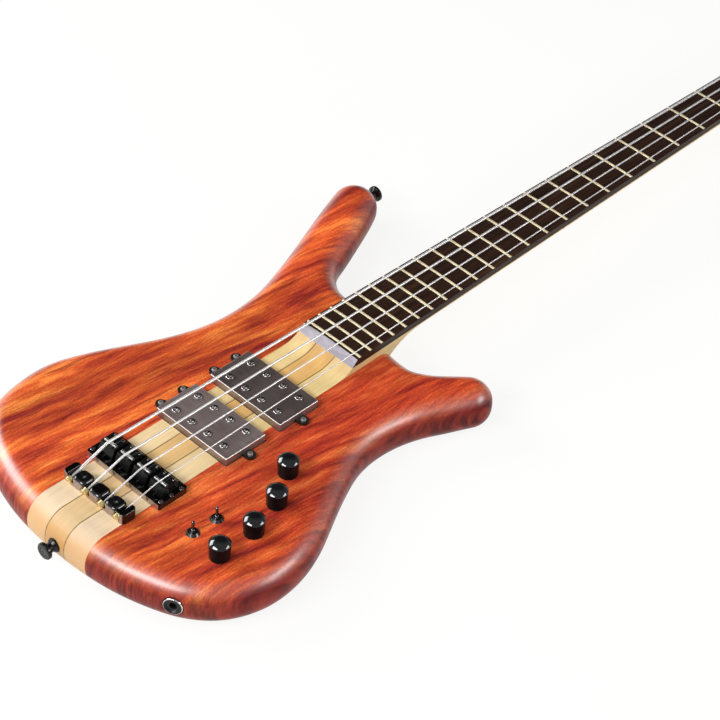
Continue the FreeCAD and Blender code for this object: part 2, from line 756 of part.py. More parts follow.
def control_cutters():
    """Control cavity, its cover's rebate and the holes for the controls and the jack."""
    ceiling = TOP - CAVITY_CEILING
    through = TOP - ceiling
    cutters = [
        prism(rounded_polygon(CAVITY_OUTLINE, CAVITY_CORNER), -TOP, ceiling),
        prism(rounded_polygon(cover_outline(), CAVITY_CORNER + COVER_MARGIN), -TOP, COVER_THICKNESS),
    ]
    cutters += screw_holes(KNOB_PLACES, TOP, POT_BUSHING_RADIUS, through)
    cutters += screw_holes(SWITCH_PLACES, TOP, SWITCH_BUSHING_RADIUS, through)
    for x, y in cover_screw_places():
        depth = SMALL_SCREW_LENGTH + COVER_SCREW_HEAD_DROP
        cutters.append(rod(vec(x, y, 0), UP, SMALL_SCREW_RADIUS, depth + SMALL_SCREW_HEAD_HEIGHT))
    seat = jack_seat()
    cutters.append(rod(seat, jack_axis(), JACK_SEAT_RADIUS, EDGE_ROUND))
    inner_end = seat - jack_axis() * JACK_BARREL_LENGTH
    cutters.append(rod(inner_end, jack_axis(), JACK_BARREL_RADIUS, JACK_BARREL_LENGTH))
    return cutters


def jack_seat():
    return vec(JACK_PLACE[0], JACK_PLACE[1], JACK_HEIGHT) - jack_axis() * JACK_SEAT_DEPTH


def jack_face():
    """Middle of the barrel's outer face, sunk inside the ring."""
    return jack_seat() + jack_axis() * (JACK_RING_HEIGHT - JACK_FACE_DROP)


def wings(blank):
    """Bass and treble wings with every hole and cavity."""
    block = prism(neck_plan(TAIL_END - EDGE_ROUND, HEEL_END), -TOP, 2.0 * TOP)
    halves = blank.cut(block).Solids
    bass = max(halves, key=lambda solid: solid.CenterOfMass.y)
    treble = min(halves, key=lambda solid: solid.CenterOfMass.y)
    shared = pickup_cavities() + top_holes()
    bass = bass.cut(shared + button_cutters(1))
    treble = treble.cut(shared + control_cutters())
    return {"body_wing_bass": bass, "body_wing_treble": treble}


def rod_channel(gap_end):
    """Truss rod space under the fretboard, ending gap_end past the nut's face."""
    half = ROD_WIDTH * 0.5
    return box(ROD_START, HEAD_START + gap_end, -half, half, BOARD_BOTTOM - ROD_DEPTH, BOARD_BOTTOM)


def neck_strips(blank):
    """Three maple strips and two thin dark stringers, cut from one neck shape."""
    neck = neck_blank(blank)
    cutters = pickup_cavities() + top_holes() + button_cutters(0) + [rod_channel(0.0)]
    pocket_half = ROD_POCKET_WIDTH * 0.5
    cutters.append(head_local(box(0, ROD_POCKET_LENGTH, -pocket_half, pocket_half, -ROD_POCKET_DEPTH, TOP)))
    for x, y, _ in tuner_places():
        cutters.append(head_local(rod(vec(x, y, -HEAD_THICKNESS * 2.0), UP, BUSHING_RADIUS, BOARD_TOP)))
    for x, y in rod_cover_screw_places():
        hole = rod(vec(x, y, -SMALL_SCREW_LENGTH), UP, SMALL_SCREW_RADIUS, SMALL_SCREW_LENGTH)
        cutters.append(head_local(hole))
    for x, y in housing_screw_places():
        back = vec(x, y, -HEAD_THICKNESS)
        cutters.append(head_local(rod(back, UP, SMALL_SCREW_RADIUS, housing_screw_depth())))
    neck = neck.cut(cutters)
    inner = STRINGER_OFFSET - STRINGER_WIDTH * 0.5
    outer = STRINGER_OFFSET + STRINGER_WIDTH * 0.5
    edge = HEAD_SHOULDER_HALF * 2.0

    def strip(y0, y1):
        return neck.common(box(-FAR, FAR, y0, y1, -FAR, FAR))

    return {
        "neck_core": strip(-inner, inner),
        "neck_stringers": Part.makeCompound([strip(inner, outer), strip(-outer, -inner)]),
        "neck_side_bass": strip(outer, edge),
        "neck_side_treble": strip(-edge, -outer),
    }


# Fretboard, frets, nut and truss rod

def board_section(x):
    half = half_width(x)
    edge = board_height(half)
    return Part.Wire([
        Part.LineSegment(vec(x, half, edge), vec(x, half, BOARD_BOTTOM)).toShape(),
        Part.LineSegment(vec(x, half, BOARD_BOTTOM), vec(x, -half, BOARD_BOTTOM)).toShape(),
        Part.LineSegment(vec(x, -half, BOARD_BOTTOM), vec(x, -half, edge)).toShape(),
        Part.Arc(vec(x, -half, edge), vec(x, 0, BOARD_TOP), vec(x, half, edge)).toShape(),
    ])


def dot_places():
    """Side dots between frets, on the bass edge of the fretboard."""
    places = []
    for number in SIDE_DOT_FRETS + SIDE_DOT_PAIRS:
        middle = SCALE_LENGTH * (2.0 ** (-number / 12.0) + 2.0 ** ((1 - number) / 12.0)) * 0.5
        if number in SIDE_DOT_PAIRS:
            places += [middle - SIDE_DOT_PAIR_SPACING * 0.5, middle + SIDE_DOT_PAIR_SPACING * 0.5]
        else:
            places.append(middle)
    return places


def side_dots():
    dots = []
    level = BOARD_BOTTOM + FRETBOARD_THICKNESS * 0.5
    slope = (HEEL_HALF_WIDTH - NUT_HALF_WIDTH) / (SCALE_LENGTH - LAST_FRET)
    inward = unit(vec(-slope, -1.0, 0.0))
    for x in dot_places():
        dots.append(rod(vec(x, half_width(x), level), inward, SIDE_DOT_RADIUS, SIDE_DOT_DEPTH))
    return dots


def fretboard():
    wide_end = Part.makeLoft([board_section(BOARD_END), board_section(LAST_FRET)], True, True)
    taper = Part.makeLoft([board_section(LAST_FRET), board_section(SCALE_LENGTH)], True, True)
    board = joined([wide_end, taper])
    rise = BOARD_TOP - BOARD_BOTTOM
    wedge = [
        (BOARD_END, 0, BOARD_BOTTOM),
        (BOARD_END + FRETBOARD_BEVEL, 0, BOARD_BOTTOM + rise),
        (BOARD_END, 0, BOARD_BOTTOM + rise),
    ]
    return board.cut([side_prism(polygon(wedge), BLOCK_HALF_WIDTH)] + side_dots())


def fret(number):
    """Domed wire bent over the fretboard's camber."""
    x = SCALE_LENGTH * 2.0 ** (-number / 12.0)
    half = FRET_WIDTH * 0.5
    left = vec(x - half, 0, BOARD_TOP)
    right = vec(x + half, 0, BOARD_TOP)
    crown = vec(x, 0, BOARD_TOP + FRET_HEIGHT)
    section = [Part.Arc(left, crown, right).toShape(), Part.LineSegment(right, left).toShape()]
    dome = Part.Face(Part.Wire(section))
    sweep = asin((half_width(x) - FRET_INSET) / FRETBOARD_RADIUS) * 180.0 / pi
    axis_point = vec(0, 0, BOARD_AXIS)
    dome.rotate(axis_point, X_AXIS, -sweep)
    return dome.revolve(axis_point, X_AXIS, 2.0 * sweep)


def nut():
    top = BOARD_TOP + NUT_ABOVE_BOARD
    shape = box(SCALE_LENGTH, HEAD_START, -NUT_HALF_WIDTH, NUT_HALF_WIDTH, BOARD_BOTTOM, top)
    slots = []
    for index, y in enumerate(string_places(STRING_SPACING_NUT)):
        wide = STRING_DIAMETERS[index] * 0.5 + NUT_SLOT_GAP
        start, end = playing_run(index)
        axis = unit(end - start)
        middle = end - axis * NUT_LENGTH
        slots.append(rod(middle - axis * NUT_LENGTH, axis, wide, NUT_LENGTH * 4.0))
        slots.append(box(SCALE_LENGTH - NUT_LENGTH, FAR, y - wide, y + wide, middle.z, FAR))
    return shape.cut(slots)


def truss_rod():
    """Rod under the fretboard with its socket nut in the headstock's pocket."""
    length = ROD_NUT_LENGTH
    level = BOARD_BOTTOM - ROD_NUT_RADIUS
    head = rod(vec(HEAD_START, 0, level), X_AXIS, ROD_NUT_RADIUS, length)
    head = head.common(box(HEAD_START, FAR, -FAR, FAR, -FAR, BOARD_BOTTOM - ROD_COVER_THICKNESS))
    socket = hexagon_prism(vec(HEAD_START + length * 0.5, 0, level), X_AXIS, ROD_NUT_SOCKET, length)
    return joined([rod_channel(0.0), head]).cut(socket)


def truss_rod_cover():
    half = ROD_COVER_WIDTH * 0.5
    narrow = ROD_COVER_END_WIDTH * 0.5
    points = [(0.0, -half), (ROD_COVER_LENGTH, -narrow), (ROD_COVER_LENGTH, narrow), (0.0, half)]
    cover = prism(rounded_polygon(points, ROD_COVER_CORNER), 0.0, ROD_COVER_THICKNESS)
    places = rod_cover_screw_places()
    holes = screw_holes(places, ROD_COVER_THICKNESS, SMALL_SCREW_RADIUS, ROD_COVER_THICKNESS)
    return head_local(cover.cut(holes))


# Strings

def playing_run(index):
    """Ends of the straight run, from behind the saddle's crest to behind the nut."""
    y_saddle = string_places(STRING_SPACING_SADDLE)[index]
    y_nut = string_places(STRING_SPACING_NUT)[index]

    def at(x):
        return vec(x, y_saddle + (y_nut - y_saddle) * x / SCALE_LENGTH, string_height(index, x))

    return at(SADDLE_CREST - SADDLE_BEND_BEHIND), at(HEAD_START + NUT_BEND_BEHIND)


def ball_place(index):
    """Front face of the ball end in the tailpiece and the string's direction there."""
    y = string_places(STRING_SPACING_TAIL)[index]
    front = vec(TAIL_REAR - TAIL_BALL_PROUD + BALL_LENGTH, y, TOP + TAIL_BALL_HEIGHT)
    return front, unit(playing_run(index)[0] - front)


def winding(index):
    """Places and directions along the turns on the post, drawn on the headstock's face."""
    x_post, y_post, side = tuner_places()[index]
    radius = STRING_DIAMETERS[index] * 0.5
    turn_radius = POST_RADIUS + WINDING_POST_GAP + radius
    pitch = STRING_DIAMETERS[index] + WINDING_GAP
    level = BUSHING_FLANGE_HEIGHT + WINDING_ABOVE_FLANGE + radius
    from_nut = HEAD_PLACEMENT.inverse().multVec(playing_run(index)[1])
    to_post = vec(x_post - from_nut.x, y_post - from_nut.y)
    approach = atan2(to_post.y, to_post.x) - side * asin(turn_radius / to_post.Length)
    first = approach - side * pi * 0.5
    places = []
    for quarter in range(int(4 * WINDING_TURNS) + 1):
        angle = first + side * quarter * pi * 0.5
        point = vec(x_post + turn_radius * cos(angle), y_post + turn_radius * sin(angle))
        point.z = level + pitch * quarter / 4.0
        rise = pitch / (2.0 * pi * turn_radius)
        tangent = unit(vec(-side * sin(angle), side * cos(angle), rise))
        places.append((point, tangent))
    run = unit(places[0][0] - from_nut)
    places[0] = (places[0][0], run)
    return places


def rounded_corner(before, corner, after, radius):
    """Tangent arc at a corner of the string's route, with its two ends."""
    back = unit(before - corner)
    ahead = unit(after - corner)
    half = acos(back.dot(ahead)) * 0.5
    reach = radius / tan(half)
    start = corner + back * reach
    end = corner + ahead * reach
    middle = corner + unit(back + ahead) * (radius / sin(half) - radius)
    return start, Part.Arc(start, middle, end).toShape(), end


def string_route(index):
    """Edges from the ball end over the saddle and the nut, then round the post."""
    ball, along = ball_place(index)
    start = ball - along * (BALL_LENGTH - BALL_HOLLOW_DEPTH)
    saddle, nut_end = playing_run(index)
    turns = [
        (HEAD_PLACEMENT.multVec(point), HEAD_PLACEMENT.Rotation.multVec(tangent))
        for point, tangent in winding(index)
    ]
    first = turns[0][0]
    saddle_start, saddle_arc, saddle_end = rounded_corner(start, saddle, nut_end, STRING_BEND_RADIUS)
    nut_start, nut_arc, nut_after = rounded_corner(saddle, nut_end, first, STRING_BEND_RADIUS)
    edges = [Part.LineSegment(start, saddle_start).toShape(), saddle_arc]
    edges += [Part.LineSegment(saddle_end, nut_start).toShape(), nut_arc]
    edges.append(Part.LineSegment(nut_after, first).toShape())
    for (p0, t0), (p1, t1) in zip(turns, turns[1:]):
        edges += biarc(p0, t0, p1, t1)
    last, tangent = turns[-1]
    edges.append(Part.LineSegment(last, last + tangent * STRING_DIAMETERS[index]).toShape())
    return edges, along


def winding_gap(index):
    """Least distance between turns of one winding, measured on points a turn apart."""
    places = [point for point, _ in winding(index)]
    spans = [(b - a).Length for a, b in zip(places, places[4:])]
    return min(spans) - STRING_DIAMETERS[index]


def string(index):
    edges, along = string_route(index)
    route = Part.Wire(Part.__sortEdges__(edges))
    start = edges[0].Vertexes[0].Point
    circle = Part.Wire(Part.Circle(start, along, STRING_DIAMETERS[index] * 0.5).toShape())
    solid = route.makePipeShell([circle], True, False)
    area = pi * (STRING_DIAMETERS[index] * 0.5) ** 2
    print("string", STRING_NAMES[index], "volume over section times length",
          round(solid.Volume / (area * route.Length), 4), "least winding gap", round(winding_gap(index), 2))
    return solid


def ball_end(index):
    front, along = ball_place(index)
    rear = front - along * BALL_LENGTH
    hole = rod(rear, along, STRING_DIAMETERS[index] * 0.5, BALL_LENGTH)
    hollow = rod(rear, along, BALL_HOLLOW_RADIUS, BALL_HOLLOW_DEPTH)
    return rod(rear, along, BALL_RADIUS, BALL_LENGTH).cut([hole, hollow])


# Tuners

def key_axis_offset():
    """Distance from the post to the worm shaft, along the headstock."""
    return GEAR_RADIUS + GEAR_ROOM + WORM_RADIUS


def gear_top():
    return -HEAD_THICKNESS - HOUSING_WALL - GEAR_ROOM


def worm_level():
    return gear_top() - GEAR_THICKNESS * 0.5


def housing_bottom():
    return gear_top() - max(GEAR_THICKNESS * 0.5 + WORM_RADIUS, GEAR_THICKNESS) - GEAR_ROOM - HOUSING_WALL


def housing_span():
    """Reach of the housing before and behind the post, along the headstock."""
    before = GEAR_RADIUS + GEAR_ROOM + HOUSING_WALL
    behind = key_axis_offset() + WORM_RADIUS + GEAR_ROOM + HOUSING_WALL
    return before, behind


def housing_screw_places():
    before, behind = housing_span()
    places = []
    for x, y, _ in tuner_places():
        places += [(x - before - HOUSING_FLANGE * 0.5, y), (x + behind + HOUSING_FLANGE * 0.5, y)]
    return places


def housing_screw_depth():
    return SMALL_SCREW_LENGTH - HOUSING_FLANGE_THICKNESS


def tuner_housing(index):
    """Closed gear housing on the back of the headstock."""
    x, y, side = tuner_places()[index]
    before, behind = housing_span()
    half = GEAR_RADIUS + GEAR_ROOM + HOUSING_WALL
    back = -HEAD_THICKNESS
    shell = box(x - before, x + behind, y - half, y + half, housing_bottom(), back)
    shell = shell.makeFillet(HOUSING_WALL, [e for e in shell.Edges if e.CenterOfMass.z < back - HOUSING_WALL])
    flange_half = HOUSING_FLANGE_WIDTH * 0.5
    flange = box(x - before - HOUSING_FLANGE, x + behind + HOUSING_FLANGE, y - flange_half, y + flange_half,
                 back - HOUSING_FLANGE_THICKNESS, back)
    gear_bottom = gear_top() - GEAR_THICKNESS
    room_bottom = gear_bottom - GEAR_ROOM
    worm_axis = vec(0, side, 0)
    worm_end = vec(x + key_axis_offset(), y - side * WORM_LENGTH * 0.5, worm_level())
    worm_room = worm_end - worm_axis * GEAR_ROOM
    cuts = [
        rod(vec(x, y, room_bottom), UP, GEAR_RADIUS + GEAR_ROOM, GEAR_THICKNESS + 2.0 * GEAR_ROOM),
        rod(vec(x, y, gear_bottom), UP, POST_RADIUS + RUNNING_GAP, back - gear_bottom),
        rod(vec(x, y, room_bottom - PIVOT_LENGTH), UP, PIVOT_RADIUS + RUNNING_GAP, HEAD_THICKNESS),
        rod(worm_room, worm_axis, WORM_RADIUS + GEAR_ROOM, WORM_LENGTH + 2.0 * GEAR_ROOM),
        rod(worm_end, worm_axis, KEY_SHAFT_RADIUS + RUNNING_GAP, HEAD_SHOULDER_HALF),
    ]
    for hole_x, hole_y in housing_screw_places()[2 * index:2 * index + 2]:
        cuts.append(rod(vec(hole_x, hole_y, back - HEAD_THICKNESS), UP, SMALL_SCREW_RADIUS, HEAD_THICKNESS))
    return head_local(joined([shell, flange]).cut(cuts))


def tuner_post(index):
    """String post with its gear wheel and lower pivot."""
    x, y, _ = tuner_places()[index]
    gear_bottom = gear_top() - GEAR_THICKNESS
    shaft = rod(vec(x, y, gear_bottom), UP, POST_RADIUS, POST_HEIGHT - gear_bottom)
    wheel = rod(vec(x, y, gear_bottom), UP, GEAR_RADIUS, GEAR_THICKNESS)
    pivot = rod(vec(x, y, gear_bottom - PIVOT_LENGTH), UP, PIVOT_RADIUS, PIVOT_LENGTH)
    half = POST_SLOT_WIDTH * 0.5
    slot = box(x - POST_RADIUS, x + POST_RADIUS, y - half, y + half, POST_HEIGHT - POST_SLOT_DEPTH, FAR)
    return head_local(joined([shaft, wheel, pivot]).cut(slot))


def tuner_bushing(index):
    x, y, _ = tuner_places()[index]
    sleeve = rod(vec(x, y, -HEAD_THICKNESS), UP, BUSHING_RADIUS, HEAD_THICKNESS)
    flange = rod(vec(x, y, 0), UP, BUSHING_FLANGE_RADIUS, BUSHING_FLANGE_HEIGHT)
    bore = rod(vec(x, y, -HEAD_THICKNESS), UP, POST_RADIUS + RUNNING_GAP, FAR)
    return head_local(joined([sleeve, flange]).cut(bore))


def tuner_key(index):
    """Worm, shaft and oval key in one turning piece."""
    x, y, side = tuner_places()[index]
    axis = vec(0, side, 0)
    x_key = x + key_axis_offset()
    worm_end = vec(x_key, y - side * WORM_LENGTH * 0.5, worm_level())
    key_start = HEAD_SHOULDER_HALF + KEY_CLEAR_OF_HEAD
    shaft_length = key_start - (side * y - WORM_LENGTH * 0.5)
    worm = rod(worm_end, axis, WORM_RADIUS, WORM_LENGTH)
    shaft = rod(worm_end, axis, KEY_SHAFT_RADIUS, shaft_length + KEY_SHAFT_IN_KEY)
    oval = Part.Ellipse(vec(0, 0), KEY_WIDTH * 0.5, KEY_LENGTH * 0.5).toShape()
    plate = Part.Face(Part.Wire(oval)).extrude(vec(0, 0, KEY_THICKNESS))
    plate = plate.makeFillet(KEY_EDGE_ROUND, plate.Edges[:1] + plate.Edges[2:])
    plate.translate(vec(x_key, side * (key_start + KEY_LENGTH * 0.5), worm_level() - KEY_THICKNESS * 0.5))
    return head_local(joined([worm, shaft, plate]))


def tuner_screws():
    screws = []
    for x, y in housing_screw_places():
        seat = vec(x, y, -HEAD_THICKNESS - HOUSING_FLANGE_THICKNESS)
        screw = pan_screw(seat, UP * -1.0, SMALL_SCREW_HEAD, SMALL_SCREW_HEAD_HEIGHT, SMALL_SCREW_RADIUS,
                          SMALL_SCREW_LENGTH)
        screws.append(head_local(screw))
    return screws


# Bridge, saddles and tailpiece

def bridge_plate():
    """Base with a pocket for each saddle and screws in its rear wall and ends."""
    plate = box(BRIDGE_REAR, BRIDGE_FRONT, -BRIDGE_HALF_WIDTH, BRIDGE_HALF_WIDTH, TOP, TOP + BRIDGE_HEIGHT)
    upright = [e for e in plate.Edges if e.BoundBox.ZLength > BRIDGE_HEIGHT * 0.5]
    plate = plate.makeFillet(BRIDGE_CORNER, upright)
    cuts = []
    for y in string_places(STRING_SPACING_SADDLE):
        half = SADDLE_WIDTH * 0.5 + SADDLE_SIDE_GAP
        cuts.append(box(BRIDGE_REAR + BRIDGE_REAR_WALL, BRIDGE_FRONT - BRIDGE_FRONT_WALL, y - half, y + half,
                        TOP + BRIDGE_FLOOR, BOARD_TOP))
        screw_start = vec(BRIDGE_REAR, y, TOP + INTONATION_HEIGHT)
        cuts.append(rod(screw_start, X_AXIS, INTONATION_RADIUS, BRIDGE_REAR_WALL))
        cuts.append(rod(screw_start, X_AXIS, INTONATION_HEAD_RADIUS, INTONATION_HEAD_LENGTH))
    cuts += screw_holes(bridge_screw_places(), TOP + BRIDGE_HEIGHT, BRIDGE_SCREW_RADIUS, BRIDGE_HEIGHT)
    seat = TOP + BRIDGE_HEIGHT - BRIDGE_SCREW_HEAD_HEIGHT
    cuts += [rod(vec(x, y, seat), UP, BRIDGE_SCREW_HEAD, BRIDGE_HEIGHT) for x, y in bridge_screw_places()]
    return plate.cut(cuts)


def rest_pin(index):
    """Round pin across the saddle that a string rests on."""
    y = string_places(STRING_SPACING_SADDLE)[index] - REST_PIN_LENGTH * 0.5
    drop = STRING_DIAMETERS[index] * 0.5 + REST_PIN_STRING_GAP + REST_PIN_RADIUS
    level = string_height(index, SADDLE_CREST) - drop
    return rod(vec(SADDLE_CREST, y, level), Y_AXIS, REST_PIN_RADIUS, REST_PIN_LENGTH)


def saddle_top(index):
    return rest_pin(index).CenterOfMass.z + REST_PIN_DROP


def saddle(index):
    """Saddle block with a seat for its rest pin; its top falls away behind."""
    y = string_places(STRING_SPACING_SADDLE)[index]
    top = saddle_top(index)
    bottom = TOP + BRIDGE_FLOOR + SADDLE_ABOVE_FLOOR
    profile = [
        (-SADDLE_BEHIND, 0, bottom),
        (SADDLE_AHEAD, 0, bottom),
        (SADDLE_AHEAD, 0, top - SADDLE_BEVEL),
        (SADDLE_AHEAD - SADDLE_BEVEL, 0, top),
        (SADDLE_CREST - SADDLE_FLAT_BEHIND, 0, top),
        (-SADDLE_BEHIND, 0, TOP + BRIDGE_HEIGHT + SADDLE_REAR_RISE),
    ]
    block = side_prism(polygon(profile), SADDLE_WIDTH * 0.5)
    block.translate(vec(0, y, 0))
    hole_start = vec(-SADDLE_BEHIND, y, TOP + INTONATION_HEIGHT)
    cuts = [rest_pin(index)]
    cuts.append(rod(hole_start, X_AXIS, INTONATION_RADIUS + INTONATION_GAP, SADDLE_BEHIND + SADDLE_AHEAD))
    cuts += [rod(base, UP, SADDLE_SCREW_RADIUS, FAR) for base in saddle_screw_bases(index)]
    return block.cut(cuts)


def saddle_screw_bases(index):
    y = string_places(STRING_SPACING_SADDLE)[index]
    bottom = TOP + BRIDGE_FLOOR + SADDLE_SCREW_FLOOR_GAP
    return [vec(SADDLE_SCREW_AHEAD, y + side * SADDLE_SCREW_OFFSET, bottom) for side in (1.0, -1.0)]


def saddle_fittings(index):
    """Two socket grub screws that carry a saddle, and the pin under the string."""
    pieces = [rest_pin(index)]
    for base in saddle_screw_bases(index):
        length = saddle_top(index) - SADDLE_SCREW_DROP - base.z
        socket = hexagon_prism(base + UP * (length - SADDLE_SCREW_RADIUS), UP, SADDLE_SCREW_SOCKET, length)
        pieces.append(rod(base, UP, SADDLE_SCREW_RADIUS, length).cut(socket))
    return pieces


def intonation_screws():
    """Screws with sunk heads in the rear wall, each reaching into its saddle."""
    screws = []
    for y in string_places(STRING_SPACING_SADDLE):
        start = vec(BRIDGE_REAR, y, TOP + INTONATION_HEIGHT)
        length = INTONATION_REACH - SADDLE_BEHIND - BRIDGE_REAR
        shank = rod(start, X_AXIS, INTONATION_RADIUS, length)
        head = rod(start, X_AXIS, INTONATION_HEAD_RADIUS, INTONATION_HEAD_LENGTH)
        screws.append(joined([shank, head]))
    return screws


def bridge_screws():
    seat = TOP + BRIDGE_HEIGHT - BRIDGE_SCREW_HEAD_HEIGHT
    return [
        pan_screw(vec(x, y, seat), UP, BRIDGE_SCREW_HEAD, BRIDGE_SCREW_HEAD_HEIGHT, BRIDGE_SCREW_RADIUS,
                  BRIDGE_SCREW_LENGTH)
        for x, y in bridge_screw_places()
    ]


def tail_lobe_corners(lobe, outer):
    """Upright edges of one lobe at the end of the tailpiece, or beside its slots."""
    corners = []
    for edge in lobe.Edges:
        at_end = abs(edge.CenterOfMass.y) > TAIL_HALF_WIDTH - TAIL_SLOT_WIDTH
        if edge.BoundBox.ZLength > TAIL_BASE and at_end == outer:
            corners.append(edge)
    return corners


def tailpiece():
    """Base with five rounded lobes; the strings hang in the slots between them."""
    base = box(TAIL_REAR, TAIL_FRONT, -TAIL_HALF_WIDTH, TAIL_HALF_WIDTH, TOP, TOP + TAIL_BASE)
    upright = [e for e in base.Edges if e.BoundBox.ZLength > TAIL_BASE * 0.5]
    pieces = [base.makeFillet(TAIL_CORNER, upright)]
    slots = string_places(STRING_SPACING_TAIL)
    lefts = [TAIL_HALF_WIDTH] + [y - TAIL_SLOT_WIDTH * 0.5 for y in slots]
    rights = [y + TAIL_SLOT_WIDTH * 0.5 for y in slots] + [-TAIL_HALF_WIDTH]
    for left, right in zip(lefts, rights):
        lobe = box(TAIL_REAR, TAIL_FRONT, right, left, TOP, TOP + TAIL_HEIGHT)
        rounding = min(TAIL_LOBE_ROUND, (left - right) * TAIL_LOBE_SHARE)
        outer = tail_lobe_corners(lobe, True)
        if outer:
            rounding = (left - right) * TAIL_END_INNER_SHARE
            lobe = lobe.makeFillet((left - right) * TAIL_END_OUTER_SHARE, outer)
        lobe = lobe.makeFillet(rounding, tail_lobe_corners(lobe, False))
        crown = [e for e in lobe.Edges if e.CenterOfMass.z > TOP + TAIL_HEIGHT - 1e-6]
        pieces.append(lobe.makeFillet(rounding * TAIL_CROWN_SHARE, crown))
    cuts = []
    reach = TAIL_FRONT - TAIL_REAR
    for index in range(len(STRING_NAMES)):
        front, along = ball_place(index)
        cuts.append(rod(front - along * reach, along, BALL_RADIUS + TAIL_BALL_GAP, reach))
        cuts.append(rod(front, along, TAIL_SLOT_WIDTH * 0.5, reach))
    for x, y in tail_screw_places():
        cuts.append(rod(vec(x, y, TOP), UP, TAIL_SCREW_RADIUS, TAIL_HEIGHT))
        seat = TOP + TAIL_HEIGHT - TAIL_SCREW_HEAD_HEIGHT
        cuts.append(rod(vec(x, y, seat), UP, TAIL_SCREW_HEAD_RADIUS, TAIL_HEIGHT))
    return joined(pieces).cut(cuts)


def tailpiece_screws():
    screws = []
    for x, y in tail_screw_places():
        seat = vec(x, y, TOP + TAIL_HEIGHT - TAIL_SCREW_HEAD_HEIGHT)
        head = rod(seat, UP, TAIL_SCREW_HEAD_RADIUS, TAIL_SCREW_HEAD_HEIGHT)
        shank = rod(seat - UP * TAIL_SCREW_LENGTH, UP, TAIL_SCREW_RADIUS, TAIL_SCREW_LENGTH)
        socket_floor = seat + UP * (TAIL_SCREW_HEAD_HEIGHT - TAIL_SCREW_SOCKET_DEPTH)
        socket = hexagon_prism(socket_floor, UP, TAIL_SCREW_SOCKET, TAIL_SCREW_HEAD_HEIGHT)
        screws.append(joined([head, shank]).cut(socket))
    return screws


# Pickups

def pole_places(x_centre):
    return [
        (x_centre + side * POLE_SPREAD, y)
        for side in (-1.0, 1.0)
        for y in string_places(STRING_SPACING_TAIL)
    ]


def pickup(x_centre):
    """Sealed shell with two ears on the bass side and one on the treble side."""
    half_x = PICKUP_LENGTH * 0.5
    half_y = PICKUP_WIDTH * 0.5
    top = TOP + PICKUP_ABOVE_TOP
    bottom = TOP - PICKUP_BELOW_TOP
    shell = box(x_centre - half_x, x_centre + half_x, -half_y, half_y, bottom, top)
    shell = shell.makeFillet(PICKUP_EDGE, [e for e in shell.Edges if e.CenterOfMass.z > bottom])
    ear_bottom = TOP + PICKUP_EAR_BOTTOM
    ear_top = ear_bottom + PICKUP_EAR_THICKNESS
    pieces = [shell]
    holes = []
    for x, y in pickup_screw_places():
        if abs(x - x_centre) > half_x:
            continue
        inside = y - PICKUP_EAR_REACH * 2.0 if y > 0 else y + PICKUP_EAR_REACH * 2.0
        pieces.append(rod(vec(x, y, ear_bottom), UP, PICKUP_EAR_RADIUS, PICKUP_EAR_THICKNESS))
        pieces.append(box(x - PICKUP_EAR_RADIUS, x + PICKUP_EAR_RADIUS, min(y, inside), max(y, inside),
                          ear_bottom, ear_top))
        holes.append(rod(vec(x, y, ear_bottom), UP, SMALL_SCREW_RADIUS, PICKUP_EAR_THICKNESS))
    for x, y in pole_places(x_centre):
        holes.append(rod(vec(x, y, top + POLE_PROUD - POLE_LENGTH), UP, POLE_RADIUS, POLE_LENGTH))
    return joined(pieces).cut(holes)


def pickup_poles():
    poles = []
    top = TOP + PICKUP_ABOVE_TOP + POLE_PROUD
    for x_centre in PICKUP_CENTRES:
        for x, y in pole_places(x_centre):
            socket = hexagon_prism(vec(x, y, top - POLE_SOCKET_DEPTH), UP, POLE_SOCKET, POLE_LENGTH)
            pole = rod(vec(x, y, top - POLE_LENGTH), UP, POLE_RADIUS, POLE_LENGTH)
            rim = [e for e in pole.Edges if e.Closed and e.CenterOfMass.z > top - POLE_ROUND]
            poles.append(pole.makeFillet(POLE_ROUND, rim).cut(socket))
    return poles


def pickup_foam_pads():
    top = TOP - PICKUP_BELOW_TOP
    half_x = PICKUP_LENGTH * 0.5
    half_y = PICKUP_WIDTH * 0.5
    return [box(x - half_x, x + half_x, -half_y, half_y, top - PICKUP_FOAM, top) for x in PICKUP_CENTRES]


def small_screws():
    """Pan-head screws of the pickups, the control cover and the truss rod cover."""
    screws = []

    def drive(seat, axis):
        return pan_screw(seat, axis, SMALL_SCREW_HEAD, SMALL_SCREW_HEAD_HEIGHT, SMALL_SCREW_RADIUS,
                         SMALL_SCREW_LENGTH)

    ear_top = TOP + PICKUP_EAR_BOTTOM + PICKUP_EAR_THICKNESS
    screws += [drive(vec(x, y, ear_top), UP) for x, y in pickup_screw_places()]
    cover_seat = SMALL_SCREW_HEAD_HEIGHT + COVER_SCREW_HEAD_DROP
    screws += [drive(vec(x, y, cover_seat), UP * -1.0) for x, y in cover_screw_places()]
    for x, y in rod_cover_screw_places():
        screws.append(head_local(drive(vec(x, y, ROD_COVER_THICKNESS), UP)))
    return screws


# Controls

